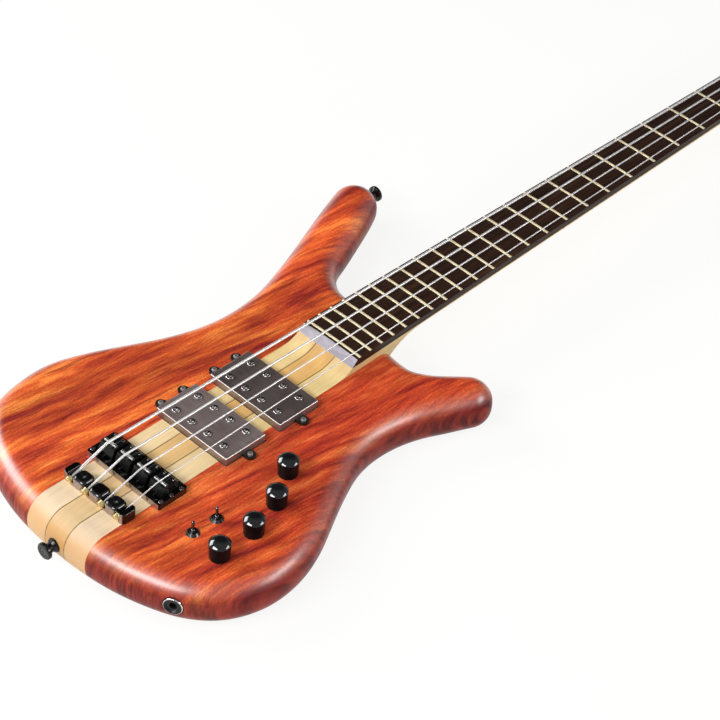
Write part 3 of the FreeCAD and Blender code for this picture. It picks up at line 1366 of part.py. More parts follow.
def knob(place):
    """Domed knob cap, a little wider at its rim, pressed on its turning shaft."""
    x, y = place
    bottom = TOP + KNOB_LIFT
    foot = vec(KNOB_BASE_RADIUS, 0, 0)
    edge = vec(KNOB_RADIUS, 0, KNOB_HEIGHT)
    crown = vec(0, 0, KNOB_HEIGHT + KNOB_DOME)
    half_section = [
        Part.LineSegment(crown, vec(0, 0, 0)).toShape(),
        Part.LineSegment(vec(0, 0, 0), foot).toShape(),
        Part.LineSegment(foot, edge).toShape(),
        arc_leaving(crown, X_AXIS, edge),
    ]
    cap = Part.Face(Part.Wire(half_section)).revolve(vec(0, 0, 0), UP, 360.0)
    rim = [e for e in cap.Edges if e.Closed and e.BoundBox.ZMin > KNOB_HEIGHT * 0.5]
    cap = cap.makeFillet(KNOB_TOP_ROUND, rim)
    cap.translate(vec(x, y, bottom))
    recess = rod(vec(x, y, bottom), UP, KNOB_RECESS_RADIUS, KNOB_RECESS_DEPTH)
    shaft_top = bottom + KNOB_RECESS_DEPTH + SHAFT_IN_KNOB
    bore = rod(vec(x, y, bottom), UP, SHAFT_RADIUS, shaft_top - bottom)
    shaft_bottom = TOP - CAVITY_CEILING + SHAFT_END_GAP
    shaft = rod(vec(x, y, shaft_bottom), UP, SHAFT_RADIUS, shaft_top - shaft_bottom)
    return Part.makeCompound([cap.cut([recess, bore]), shaft])


def potentiometers():
    """Control bodies under the top, each with a threaded bushing and its nut."""
    ceiling = TOP - CAVITY_CEILING
    pieces = []
    for x, y in KNOB_PLACES:
        body = rod(vec(x, y, ceiling - POT_HEIGHT), UP, POT_RADIUS, POT_HEIGHT)
        bushing = rod(vec(x, y, ceiling), UP, POT_BUSHING_RADIUS, CAVITY_CEILING + POT_BUSHING_PROUD)
        bore = rod(vec(x, y, ceiling), UP, SHAFT_RADIUS + RUNNING_GAP, FAR)
        pieces.append(joined([body, bushing]).cut(bore))
        hole = rod(vec(x, y, TOP), UP, POT_BUSHING_RADIUS, POT_NUT_HEIGHT)
        nut_half = POT_NUT_RADIUS * cos(pi / 6.0)
        pieces.append(hexagon_prism(vec(x, y, TOP), UP, nut_half, POT_NUT_HEIGHT).cut(hole))
    return pieces


def switch_bodies():
    """Toggle switch bodies under the top, each with a threaded bushing and its conical nut."""
    ceiling = TOP - CAVITY_CEILING
    pieces = []
    for x, y in SWITCH_PLACES:
        half_x = SWITCH_BODY_LENGTH * 0.5
        half_y = SWITCH_BODY_WIDTH * 0.5
        body = box(x - half_x, x + half_x, y - half_y, y + half_y, ceiling - SWITCH_BODY_DEPTH, ceiling)
        bushing = rod(vec(x, y, ceiling), UP, SWITCH_BUSHING_RADIUS, CAVITY_CEILING + SWITCH_BUSHING_PROUD)
        bore = rod(vec(x, y, TOP + SWITCH_PIVOT_HEIGHT - SWITCH_BORE), UP, SWITCH_BORE, FAR)
        pieces.append(joined([body, bushing]).cut(bore))
        hole = rod(vec(x, y, TOP), UP, SWITCH_BUSHING_RADIUS, SWITCH_NUT_HEIGHT)
        cone = Part.makeCone(SWITCH_NUT_RADIUS, SWITCH_NUT_TOP_RADIUS, SWITCH_NUT_HEIGHT, vec(x, y, TOP), UP)
        pieces.append(cone.cut(hole))
    return pieces


def switch_lever(place):
    """Bat lever on a ball in the switch's bushing."""
    pivot = vec(place[0], place[1], TOP + SWITCH_PIVOT_HEIGHT)
    ball = Part.makeSphere(SWITCH_BALL, pivot)
    bat = Part.makeCone(LEVER_NECK_RADIUS, LEVER_TIP_RADIUS, LEVER_LENGTH, pivot, UP)
    tip = Part.makeSphere(LEVER_TIP_RADIUS, pivot + UP * LEVER_LENGTH)
    return joined([ball, bat, tip])


def control_cover():
    edges = rounded_polygon(shifted_polygon(cover_outline(), -COVER_GAP), CAVITY_CORNER + COVER_MARGIN)
    plate = prism(edges, 0.0, COVER_THICKNESS)
    cuts = []
    for x, y in cover_screw_places():
        cuts.append(rod(vec(x, y, 0), UP, SMALL_SCREW_RADIUS, COVER_THICKNESS))
        cuts.append(rod(vec(x, y, 0), UP, SMALL_SCREW_HEAD, SMALL_SCREW_HEAD_HEIGHT + COVER_SCREW_HEAD_DROP))
    return plate.cut(cuts)


def battery():
    x, y = BATTERY_PLACE
    half_x = BATTERY_LENGTH * 0.5
    half_y = BATTERY_WIDTH * 0.5
    top = COVER_THICKNESS + BATTERY_HEIGHT
    block = box(x - half_x, x + half_x, y - half_y, y + half_y, COVER_THICKNESS, top)
    return block.makeFillet(BATTERY_CORNER, [e for e in block.Edges if e.BoundBox.ZLength > BATTERY_CORNER])


def output_jack():
    """Barrel of the jack, drilled for the plug."""
    axis = jack_axis()
    face = jack_face()
    length = JACK_BARREL_LENGTH + JACK_RING_HEIGHT - JACK_FACE_DROP
    barrel = rod(face - axis * length, axis, JACK_BARREL_RADIUS, length)
    return barrel.cut(rod(face - axis * JACK_BORE_DEPTH, axis, JACK_BORE_RADIUS, JACK_BORE_DEPTH))


def jack_ring():
    axis = jack_axis()
    ring = rod(jack_seat(), axis, JACK_RING_RADIUS, JACK_RING_HEIGHT)
    middle = jack_seat() + axis * (JACK_RING_HEIGHT * 0.5)
    outer = [e for e in ring.Edges if e.Closed and (e.CenterOfMass - middle).dot(axis) > 0]
    ring = ring.makeFillet(JACK_RING_ROUND, outer)
    return ring.cut(rod(jack_seat(), axis, JACK_BARREL_RADIUS, JACK_RING_HEIGHT))


# Strap buttons

def strap_button(index):
    """Waisted button turned about its axis, with a seat for the screw's head."""
    seat, axis = button_places()[index]
    points = [
        (BUTTON_SCREW_RADIUS, 0.0),
        (BUTTON_BASE_RADIUS, 0.0),
        (BUTTON_BASE_RADIUS, BUTTON_BASE),
        (BUTTON_WAIST_RADIUS, BUTTON_WAIST_START),
        (BUTTON_WAIST_RADIUS, BUTTON_WAIST_END),
        (BUTTON_RIM_RADIUS, BUTTON_LENGTH - BUTTON_RIM),
        (BUTTON_RIM_RADIUS, BUTTON_LENGTH - BUTTON_RIM_BEVEL),
        (BUTTON_RIM_RADIUS - BUTTON_RIM_BEVEL, BUTTON_LENGTH),
        (BUTTON_SCREW_HEAD, BUTTON_LENGTH),
        (BUTTON_SCREW_HEAD, BUTTON_LENGTH - BUTTON_SCREW_HEAD_HEIGHT),
        (BUTTON_SCREW_RADIUS, BUTTON_LENGTH - BUTTON_SCREW_HEAD_HEIGHT),
    ]
    face = Part.Face(Part.Wire(polygon([(radius, 0, height) for radius, height in points])))
    solid = face.revolve(vec(0, 0, 0), UP, 360.0)
    solid.Placement = FreeCAD.Placement(seat, FreeCAD.Rotation(UP, axis))
    return solid


def strap_screw(index):
    seat, axis = button_places()[index]
    head_seat = seat + axis * (BUTTON_LENGTH - BUTTON_SCREW_HEAD_HEIGHT)
    length = BUTTON_SCREW_LENGTH + BUTTON_LENGTH - BUTTON_SCREW_HEAD_HEIGHT
    head_height = BUTTON_SCREW_HEAD_HEIGHT
    return pan_screw(head_seat, axis, BUTTON_SCREW_HEAD, head_height, BUTTON_SCREW_RADIUS, length)


def assembly():
    """Every sub-part under its name."""
    group = Part.makeCompound
    indexes = range(len(STRING_NAMES))
    blank = body_blank()
    nodes = {}
    nodes.update(wings(blank))
    nodes.update(neck_strips(blank))
    nodes["fretboard"] = fretboard()
    nodes["frets"] = group([fret(number) for number in range(1, FRET_COUNT + 1)])
    nodes["nut"] = nut()
    nodes["side_dots"] = group(side_dots())
    nodes["truss_rod"] = truss_rod()
    nodes["truss_rod_cover"] = truss_rod_cover()
    nodes["tuner_housings"] = group([tuner_housing(k) for k in indexes])
    nodes["tuner_bushings"] = group([tuner_bushing(k) for k in indexes])
    nodes["tuner_screws"] = group(tuner_screws())
    for k, name in enumerate(STRING_NAMES):
        nodes["tuner_post_" + name] = tuner_post(k)
        nodes["tuner_key_" + name] = tuner_key(k)
        nodes["string_" + name] = string(k)
        nodes["saddle_" + name] = saddle(k)
        nodes["saddle_fittings_" + name] = group(saddle_fittings(k))
    nodes["string_ball_ends"] = group([ball_end(k) for k in indexes])
    nodes["bridge_plate"] = bridge_plate()
    nodes["bridge_screws"] = group(bridge_screws())
    nodes["intonation_screws"] = group(intonation_screws())
    nodes["tailpiece"] = tailpiece()
    nodes["tailpiece_screws"] = group(tailpiece_screws())
    nodes["pickup_rear"] = pickup(PICKUP_CENTRES[0])
    nodes["pickup_front"] = pickup(PICKUP_CENTRES[1])
    nodes["pickup_poles"] = group(pickup_poles())
    nodes["pickup_foam_pads"] = group(pickup_foam_pads())
    nodes["small_screws"] = group(small_screws())
    for number, place in enumerate(KNOB_PLACES, 1):
        nodes["knob_%d" % number] = knob(place)
    nodes["potentiometers"] = group(potentiometers())
    nodes["switch_bodies"] = group(switch_bodies())
    for number, place in enumerate(SWITCH_PLACES, 1):
        nodes["switch_lever_%d" % number] = switch_lever(place)
    nodes["control_cover"] = control_cover()
    nodes["battery"] = battery()
    nodes["output_jack"] = output_jack()
    nodes["jack_ring"] = jack_ring()
    nodes["strap_buttons"] = group([strap_button(0), strap_button(1)])
    nodes["strap_screws"] = group([strap_screw(0), strap_screw(1)])
    return nodes


os.makedirs("parts", exist_ok=True)
for node_name, node_shape in assembly().items():
    node_shape.exportStep("parts/%s.step" % node_name)
    print(node_name, len(node_shape.Solids), "solids", "valid" if node_shape.isValid() else "NOT VALID")
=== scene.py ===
from math import cos, radians, sin

import bpy
from mathutils import Matrix, Vector

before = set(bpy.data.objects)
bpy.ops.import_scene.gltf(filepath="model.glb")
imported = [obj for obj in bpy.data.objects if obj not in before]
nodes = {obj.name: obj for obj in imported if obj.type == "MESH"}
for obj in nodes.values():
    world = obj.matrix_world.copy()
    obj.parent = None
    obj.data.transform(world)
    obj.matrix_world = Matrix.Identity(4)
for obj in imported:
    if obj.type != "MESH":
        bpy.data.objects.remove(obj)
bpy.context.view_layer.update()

STRING_LETTERS = "eadg"

# Places on the part that its finishes follow, in metres of the shared frame

PICKUP_HALF_WIDTH = 0.0408  # the ears of the pickups are beyond this
SADDLE_PIN_FRONT = -0.002  # the grub screws of the saddles are ahead of this
MAPLE_CREAM_X, MAPLE_GOLD_X = -0.08, 0.12
JACK_AXIS = (-0.883, -0.469)  # X and Y of the way that the jack faces

# Depths of surface relief, in metres

POLISH_DEPTH = 0.00001
RUB_DEPTH = 0.00002
GRAIN_DEPTH = 0.00003
WINDING_DEPTH = 0.00004
PORE_DEPTH = 0.00005
FOAM_DEPTH = 0.0003

# Colours of the woods, as one colour, a dark and light pair, or stops of a ramp

WING_STOPS = (
    (0.33, (0.19, 0.013, 0.013)),
    (0.43, (0.39, 0.044, 0.017)),
    (0.53, (0.57, 0.086, 0.022)),
    (0.67, (0.81, 0.220, 0.050)),
)
WING_TONE, WING_TREBLE_TONE = (1.08, 1.12, 1.0), (0.88, 0.70, 0.82)
WING_VEIN, WING_VEIN_SHARE = (0.14, 0.010, 0.014), 0.55
# Dark end-grain colours for the edge where it turns down, which also serve as painted shade
WING_EDGE_GRAIN_SHADE_STOPS = ((0.38, (0.070, 0.009, 0.010)), (0.62, (0.25, 0.031, 0.022)))
MAPLE_SIDE_CREAM, MAPLE_SIDE_GOLD = (0.65, 0.50, 0.34), (0.72, 0.54, 0.25)
MAPLE_CORE_CREAM, MAPLE_CORE_GOLD = (0.60, 0.43, 0.23), (0.72, 0.43, 0.15)
MAPLE_END_TONE = (0.80, 0.62, 0.42)
STRINGER_PAIR = ((0.12, 0.075, 0.020), (0.26, 0.17, 0.055))
BOARD_STOPS = (
    (0.30, (0.012, 0.004, 0.002)),
    (0.55, (0.026, 0.010, 0.005)),
    (0.78, (0.062, 0.028, 0.013)),
)
BOARD_PORE, BOARD_PORE_SHARE = (0.008, 0.005, 0.004), 0.6
# Grey painted reflection for the end of the fretboard that faces the tail, not a colour of the wood
BOARD_END_REFLECTION_PAIR = ((0.27, 0.25, 0.30), (0.42, 0.40, 0.45))

# Colours of the metals and plastics, as one colour or a dark and light pair

PLATE_PAIR = ((0.050, 0.048, 0.048), (0.070, 0.066, 0.066))
# Painted reflection: paler colours for the plated faces that look towards the tail
PLATE_REAR_REFLECTION_PAIR = ((0.40, 0.34, 0.33), (0.50, 0.43, 0.42))
KNOB_PAIR = ((0.002, 0.0025, 0.003), (0.004, 0.0045, 0.005))
# Painted light: the same pickup top, lighter on the rear pickup and darker on the front one
PICKUP_REAR_LIT_PAIR = ((0.15, 0.118, 0.112), (0.23, 0.185, 0.175))
PICKUP_FRONT_SHADED_PAIR = ((0.075, 0.057, 0.053), (0.125, 0.098, 0.092))
# Side colours of the pickups, lighter than their tops partly as painted reflection
PICKUP_SIDE_REFLECTION_PAIR = ((0.26, 0.20, 0.18), (0.34, 0.28, 0.26))
PICKUP_EAR_PAIR = ((0.024, 0.020, 0.019), (0.040, 0.034, 0.032))
# Painted highlight colour for the rounded top edge of the pickups
PICKUP_RIM_HIGHLIGHT = (0.86, 0.80, 0.77)
# Near-black painted shade for the flat face of the chrome jack ring
RING_FACE_SHADE_PAIR = ((0.030, 0.029, 0.028), (0.045, 0.043, 0.042))
RING_RIM_PAIR = ((0.70, 0.68, 0.66), (0.82, 0.80, 0.78))
REST_PIN_PAIR = ((0.80, 0.79, 0.78), (0.92, 0.91, 0.90))
GRUB_SCREW_PAIR = ((0.44, 0.43, 0.42), (0.54, 0.53, 0.52))
STRING_PAIR = ((0.78, 0.75, 0.74), (0.90, 0.88, 0.87))

# Camera at the photograph's viewing angle, with lengths in metres and the lens in millimetres

AZIMUTH, ELEVATION, ROLL = radians(-48.97), radians(41.71), radians(4.81)
TARGET = Vector((0.22329, -0.02388, 0.042))
DISTANCE = 2.08434
FOCAL_LENGTH, SENSOR_WIDTH = 125.25, 36.0

# Floor, lamps and surroundings

FLOOR_SIZE, FLOOR_MIDDLE = 14.0, (0.3, 0.0, -0.0004)
FLOOR_GLOW, FLOOR_GLOW_SHARE = (1.0, 1.0, 0.985, 1.0), 0.88
LAMPS = (  # name, place, aim, width and height, power in watts
    ("tail_strip", (-1.45, 0.05, 1.3), (0.0, 0.0, 0.04), (1.3, 0.5), 34.0),
    ("bass_side", (-0.55, 1.75, 1.05), (0.1, 0.0, 0.04), (1.3, 0.9), 38.0),
    ("front_side", (1.05, -1.55, 1.0), (0.2, 0.0, 0.04), (1.1, 0.5), 17.0),
)
SKY_COLOUR, SKY_STRENGTH = (0.97, 0.98, 1.0, 1.0), 0.36
DARK_SIDE, DARK_STRENGTH = (0.563, 0.490, 0.665), 0.05
DARK_FROM, DARK_FULL = 0.60, 0.90  # cosines of the angle to the dark side

# Helpers for material nodes


def opaque(value):
    """A colour with its alpha added, and anything else as it is."""
    return (*value, 1.0) if isinstance(value, tuple) else value


def even(cycles):
    """The same scale along each axis."""
    return (cycles, cycles, cycles)


class Tree:
    """Node tree of one new material with a principled shader."""

    RAMP_SHIFT = 0.5  # added to metres, because the stops of a ramp run from 0 to 1

    def __init__(self, name):
        self.material = bpy.data.materials.new(name)
        self.material.use_nodes = True
        self.tree = self.material.node_tree
        self.shader = self.tree.nodes["Principled BSDF"]
        self.place = self.add("ShaderNodeTexCoord").outputs["Object"]

    def add(self, kind, **settings):
        """New node with its settings."""
        made = self.tree.nodes.new(kind)
        for key, value in settings.items():
            setattr(made, key, value)
        return made

    def put(self, value, socket):
        """Links another node's output to the socket, or sets a constant there."""
        if isinstance(value, bpy.types.NodeSocket):
            self.tree.links.new(value, socket)
        else:
            socket.default_value = value

    def set(self, **values):
        """Sets the shader's inputs; underscores stand for spaces."""
        for key, value in values.items():
            self.put(opaque(value), self.shader.inputs[key.replace("_", " ")])

    def math(self, operation, *values):
        made = self.add("ShaderNodeMath", operation=operation)
        for value, socket in zip(values, made.inputs):
            self.put(value, socket)
        return made.outputs[0]

    def axes(self, vector):
        """Outputs X, Y and Z of a vector."""
        made = self.add("ShaderNodeSeparateXYZ")
        self.put(vector, made.inputs[0])
        return made.outputs

    def normal(self):
        return self.axes(self.add("ShaderNodeNewGeometry").outputs["Normal"])

    def rearward(self):
        """How far the surface faces the tail, up to 1."""
        return self.math("MULTIPLY", self.normal()["X"], -1.0)

    def scaled(self, scale, turn=0.0):
        """Object coordinates turned about Z by degrees, times scale."""
        made = self.add("ShaderNodeMapping", vector_type="TEXTURE")
        made.inputs["Rotation"].default_value = (0, 0, radians(turn))
        made.inputs["Scale"].default_value = tuple(1.0 / s for s in scale)
        self.put(self.place, made.inputs["Vector"])
        return made.outputs[0]

    def noise(self, scale, detail, rough, turn=0.0, distortion=0.0):
        """Noise from about 0 to 1 with its own scale along each axis, in cycles per metre."""
        made = self.add("ShaderNodeTexNoise")
        self.put(self.scaled(scale, turn), made.inputs["Vector"])
        made.inputs["Scale"].default_value = 1.0
        made.inputs["Detail"].default_value = detail
        made.inputs["Roughness"].default_value = rough
        made.inputs["Distortion"].default_value = distortion
        return made.outputs["Fac"]

    def sway(self, scale, reach):
        """Shifts the coordinates along Y by slow noise, so that what is drawn after runs in waves."""
        shift = self.math("MULTIPLY_ADD", self.noise(scale, 2.0, 0.5), reach, -0.5 * reach)
        step = self.add("ShaderNodeCombineXYZ")
        self.put(shift, step.inputs["Y"])
        total = self.add("ShaderNodeVectorMath", operation="ADD")
        self.put(self.place, total.inputs[0])
        self.put(step.outputs[0], total.inputs[1])
        self.place = total.outputs[0]

    def ramp(self, value, *stops):
        """Ramp through stops, each a position with a colour or a grey level."""
        made = self.add("ShaderNodeValToRGB")
        line = made.color_ramp
        while len(line.elements) < len(stops):
            line.elements.new(1.0)
        for element, (position, colour) in zip(line.elements, stops):
            element.position = position
            element.color = opaque(colour if isinstance(colour, tuple) else (colour, colour, colour))
        self.put(value, made.inputs["Fac"])
        return made.outputs["Color"]

    def spread(self, value, low, high):
        """Low to high over the middle part of a noise's range."""
        return self.ramp(value, (0.3, low), (0.7, high))

    def along(self, axis, *stops):
        """Ramp along one axis, with the positions of its stops in metres."""
        shifted = self.math("ADD", self.axes(self.place)[axis], self.RAMP_SHIFT)
        return self.ramp(shifted, *((place + self.RAMP_SHIFT, colour) for place, colour in stops))

    def wear(self, low, high):
        """Roughness between low and high in fine cloudy patches."""
        return self.spread(self.noise(even(160), 4.0, 0.6), low, high)

    def mix(self, share, a, b, blend="MIX"):
        """Mix of two colours, through the colour sockets of the node."""
        made = self.add("ShaderNodeMix", data_type="RGBA", blend_type=blend)
        self.put(share, made.inputs[0])
        self.put(opaque(a), made.inputs[6])
        self.put(opaque(b), made.inputs[7])
        return made.outputs[2]

    def tinted(self, colour, factor):
        """Colour times factor."""
        return self.mix(1.0, colour, factor, "MULTIPLY")

    def bump(self, height, distance, strength):
        made = self.add("ShaderNodeBump")
        made.inputs["Strength"].default_value = strength
        made.inputs["Distance"].default_value = distance
        self.put(height, made.inputs["Height"])
        self.put(made.outputs[0], self.shader.inputs["Normal"])


# Wood


def grain(t, low, high):
    """Fine fibres along the wood, as a grey factor between low and high."""
    return t.ramp(t.noise((26.0, 760.0, 220.0), 3.0, 0.6, turn=2.0), (0.32, low), (0.68, high))


def wing_wood():
    """Red figured hardwood with upright layers that run along X in waves.

    It is redder on the treble side. It is lighter at the bass horn as painted light, and darker where the
    edge turns down, partly as end-grain stripes and partly as painted shade.
    """
    t = Tree("wing_wood")
    t.sway((8.0, 6.0, 5.0), 0.012)
    t.sway((46.0, 26.0, 14.0), 0.0024)
    layers = t.noise((10.0, 84.0, 16.0), 6.0, 0.66, turn=-8.0, distortion=0.25)
    patches = t.noise((4.5, 24.0, 8.0), 3.0, 0.5, turn=-8.0, distortion=0.6)
    colour = t.tinted(t.ramp(layers, *WING_STOPS), t.ramp(patches, (0.36, 0.70), (0.60, 1.12)))
    place = t.axes(t.place)
    # Painted light: the colour brightens towards the bass horn, standing in for light that the lamps give
    # too little of there
    horn = t.ramp(t.math("ADD", place["X"], place["Y"]), (0.24, 1.0), (0.44, 1.16))
    colour = t.tinted(colour, horn)
    treble = t.along("Y", (-0.04, 1.0), (0.04, 0.0))
    redder = t.math("MULTIPLY", treble, t.along("X", (-0.06, 0.0), (0.04, 1.0)))
    colour = t.tinted(colour, t.mix(redder, WING_TONE, WING_TREBLE_TONE))
    figure = t.noise((11.0, 190.0, 40.0), 4.0, 0.6, turn=-9.0, distortion=0.3)
    veins = t.ramp(figure, (0.55, 0.0), (0.66, 1.0))
    colour = t.mix(t.math("MULTIPLY", veins, WING_VEIN_SHARE), colour, WING_VEIN)
    fibres = grain(t, 0.72, 1.18)
    specks = t.ramp(t.noise((430.0, 900.0, 430.0), 2.0, 0.6), (0.32, 0.76), (0.70, 1.26))
    colour = t.tinted(t.tinted(colour, fibres), specks)
    upward = t.normal()["Z"]
    # Partly painted shade: the less the surface faces up, the more its colour turns to the dark end-grain
    # stripes
    turned = t.ramp(upward, (0.25, 0.92), (0.88, 0.0))
    stripes = t.noise((14.0, 360.0, 40.0), 4.0, 0.6, turn=-3.0, distortion=0.3)
    colour = t.mix(turned, colour, t.ramp(stripes, *WING_EDGE_GRAIN_SHADE_STOPS))
    gloss = t.ramp(upward, (0.40, 0.0), (0.66, 1.0), (0.90, 1.0), (0.99, 0.25))
    t.set(Base_Color=colour, Roughness=t.ramp(fibres, (0.7, 0.36), (1.0, 0.28)), Specular_IOR_Level=0.10)
    t.set(Coat_Weight=gloss, Coat_Roughness=0.37, Coat_IOR=1.85)
    t.bump(t.math("SUBTRACT", fibres, veins), PORE_DEPTH, 0.3)
    return t.material


def maple(name, cream, gold):
    """Pale wood with weak layers along X, cream at the tail, golden to the neck and on its rounded end."""
    t = Tree(name)
    fade = 1.0 / (MAPLE_GOLD_X - MAPLE_CREAM_X)
    ahead = t.math("MULTIPLY_ADD", t.axes(t.place)["X"], fade, -MAPLE_CREAM_X * fade)
    layers = t.noise((3.0, 60.0, 12.0), 6.0, 0.6, turn=1.0, distortion=0.4)
    figure = t.noise((60.0, 12.0, 12.0), 2.0, 0.5, turn=12.0)
    colour = t.ramp(ahead, (0.0, cream), (1.0, gold))
    colour = t.tinted(colour, t.ramp(layers, (0.34, 0.90), (0.62, 1.05)))
    colour = t.tinted(colour, grain(t, 0.90, 1.05))
    colour = t.tinted(colour, t.spread(figure, 0.95, 1.05))
    rounded = t.ramp(t.rearward(), (0.25, 0.0), (0.90, 1.0))
    colour = t.mix(rounded, colour, tuple(c * s for c, s in zip(cream, MAPLE_END_TONE)))
    t.set(Base_Color=colour, Roughness=t.spread(layers, 0.46, 0.38), Specular_IOR_Level=0.4)
    t.bump(layers, GRAIN_DEPTH, 0.3)
    return t.material


def stringer_wood():
    """Thin brown strips between the maple."""
    t = Tree("stringer_wood")
    streaks = t.noise((14.0, 300.0, 300.0), 3.0, 0.6)
    t.set(Base_Color=t.spread(streaks, *STRINGER_PAIR), Roughness=t.wear(0.40, 0.52))
    t.bump(streaks, GRAIN_DEPTH, 0.3)
    return t.material


def fretboard_wood():
    """Dark brown wood with pores, with a grey painted reflection coloured onto its end towards the tail."""
    t = Tree("fretboard_wood")
    streaks = t.noise((9.0, 220.0, 220.0), 4.0, 0.6)
    pores = t.ramp(t.noise((60.0, 1500.0, 1500.0), 2.0, 0.5), (0.58, 0.0), (0.70, 1.0))
    pore_share = t.math("MULTIPLY", pores, BOARD_PORE_SHARE)
    colour = t.mix(pore_share, t.ramp(streaks, *BOARD_STOPS), BOARD_PORE)
    sheen = t.noise((60.0, 30.0, 260.0), 2.0, 0.5)
    # Painted reflection: the end facing the tail gets a grey colour in place of the dark wood
    painted_end_reflection = t.math("GREATER_THAN", t.rearward(), 0.5)
    colour = t.mix(painted_end_reflection, colour, t.spread(sheen, *BOARD_END_REFLECTION_PAIR))
    t.set(Base_Color=colour, Roughness=t.spread(streaks, 0.55, 0.42), Specular_IOR_Level=0.2)
    t.bump(t.math("SUBTRACT", streaks, pores), PORE_DEPTH, 0.4)
    return t.material


# Metals and plastics


def metal(name, colour, low, high, brush=even(300), bare=1.0):
    """Metal with brushed or polished tracks; low and high bound its roughness."""
    t = Tree(name)
    tracks = t.noise(brush, 3.0, 0.6)
    darker = tuple(c * 0.88 for c in colour)
    t.set(Base_Color=t.spread(tracks, darker, colour), Metallic=bare, Roughness=t.spread(tracks, low, high))
    t.bump(tracks, POLISH_DEPTH, 0.2)
    return t.material


def coated(name, colour, low, high, coat=0.0, texture=1800.0, depth=POLISH_DEPTH):
    """Plated, painted or moulded surface with fine texture; low and high bound its roughness."""
    t = Tree(name)
    lighter = tuple(c * 1.35 + 0.002 for c in colour)
    shade = t.spread(t.noise(even(90), 3.0, 0.6), colour, lighter)
    t.set(Base_Color=shade, Roughness=t.wear(low, high), Specular_IOR_Level=0.35)
    t.set(Coat_Weight=coat, Coat_Roughness=0.06)
    t.bump(t.noise(even(texture), 2.0, 0.5), depth, 0.3)
    return t.material


def black_plated():
    """Black plated metal, duller on the faces towards the tail, where a paler colour is painted reflection.
    """
    t = Tree("black_plated")
    tracks = t.noise(even(260), 3.0, 0.6)
    # Faces towards the tail get a duller finish and a paler colour, the colour being painted reflection
    rear = t.ramp(t.rearward(), (0.70, 0.0), (0.95, 1.0))
    colour = t.mix(rear, t.spread(tracks, *PLATE_PAIR), t.spread(tracks, *PLATE_REAR_REFLECTION_PAIR))
    rough = t.mix(rear, t.spread(tracks, 0.10, 0.18), t.spread(tracks, 0.34, 0.44))
    t.set(Base_Color=colour, Metallic=1.0, Roughness=rough)
    t.bump(tracks, POLISH_DEPTH, 0.2)
    return t.material


def knob_black():
    """Black knob, glossy on its cap and duller down its side."""
    t = Tree("knob_black")
    cap = t.ramp(t.normal()["Z"], (0.05, 0.0), (0.35, 1.0))
    colour = t.spread(t.noise(even(90), 3.0, 0.6), *KNOB_PAIR)
    t.set(Base_Color=colour, Roughness=t.wear(0.08, 0.14), Specular_IOR_Level=0.10)
    t.set(Coat_Weight=cap, Coat_Roughness=0.06, Coat_IOR=1.6)
    t.bump(t.noise(even(1800), 2.0, 0.5), POLISH_DEPTH, 0.3)
    return t.material


def pickup_shell(name, top_pair):
    """Satin dark metal with fine rubbed tracks on top, a painted highlight along its rounded top edge,
    smoother sides lightened in part by painted reflection, and dark glossy ears.
    """
    t = Tree(name)
    tracks = t.noise((900.0, 60.0, 200.0), 3.0, 0.6)
    cloud = t.noise((50.0, 30.0, 30.0), 3.0, 0.5)
    upward = t.normal()["Z"]
    level = t.ramp(upward, (0.20, 0.0), (0.97, 1.0))
    # Painted highlight: a near-white colour along the rounded top edge, where the edge faces between up and
    # sideways
    rim = t.ramp(upward, (0.15, 0.0), (0.45, 1.0), (0.80, 1.0), (0.96, 0.0))
    # Partly painted reflection: the sides get lighter colours than the top of the same cover
    colour = t.mix(level, t.spread(cloud, *PICKUP_SIDE_REFLECTION_PAIR), t.spread(cloud, *top_pair))
    colour = t.tinted(t.mix(rim, colour, PICKUP_RIM_HIGHLIGHT), t.spread(tracks, 0.80, 1.16))
    rough = t.mix(level, t.spread(tracks, 0.30, 0.40), t.spread(tracks, 0.40, 0.52))
    sideways = t.math("ABSOLUTE", t.axes(t.place)["Y"])
    ears = t.math("GREATER_THAN", sideways, PICKUP_HALF_WIDTH)
    colour = t.mix(ears, colour, t.spread(cloud, *PICKUP_EAR_PAIR))
    rough = t.mix(ears, rough, t.spread(tracks, 0.16, 0.26))
    t.set(Base_Color=colour, Metallic=t.ramp(level, (0.0, 0.75), (1.0, 0.45)), Roughness=rough)
    t.bump(tracks, RUB_DEPTH, 0.25)
    return t.material


def ring_steel():
    """Ring of the jack in chrome colours on its rim, with near-black painted shade on its flat face."""
    t = Tree("ring_steel")
    tracks = t.noise(even(90), 3.0, 0.6)
    normal = t.normal()
    sideways = t.math("MULTIPLY", normal["Y"], JACK_AXIS[1])
    facing = t.math("MULTIPLY_ADD", normal["X"], JACK_AXIS[0], sideways)
    # Painted shade: where the ring faces along the jack's axis its chrome colour turns near-black
    face = t.ramp(facing, (0.90, 0.0), (0.98, 1.0))
    colour = t.mix(face, t.spread(tracks, *RING_RIM_PAIR), t.spread(tracks, *RING_FACE_SHADE_PAIR))
    t.set(Base_Color=colour, Metallic=1.0, Roughness=t.spread(tracks, 0.12, 0.22))
    return t.material


def saddle_steel():
    """Bright rest pin across the saddle, and greyer grub screws ahead of it."""
    t = Tree("saddle_steel")
    tracks = t.noise(even(300), 3.0, 0.6)
    ahead = t.math("GREATER_THAN", t.axes(t.place)["X"], SADDLE_PIN_FRONT)
    colour = t.mix(ahead, t.spread(tracks, *REST_PIN_PAIR), t.spread(tracks, *GRUB_SCREW_PAIR))
    t.set(Base_Color=colour, Metallic=1.0, Roughness=t.spread(tracks, 0.16, 0.26))
    t.bump(tracks, POLISH_DEPTH, 0.2)
    return t.material


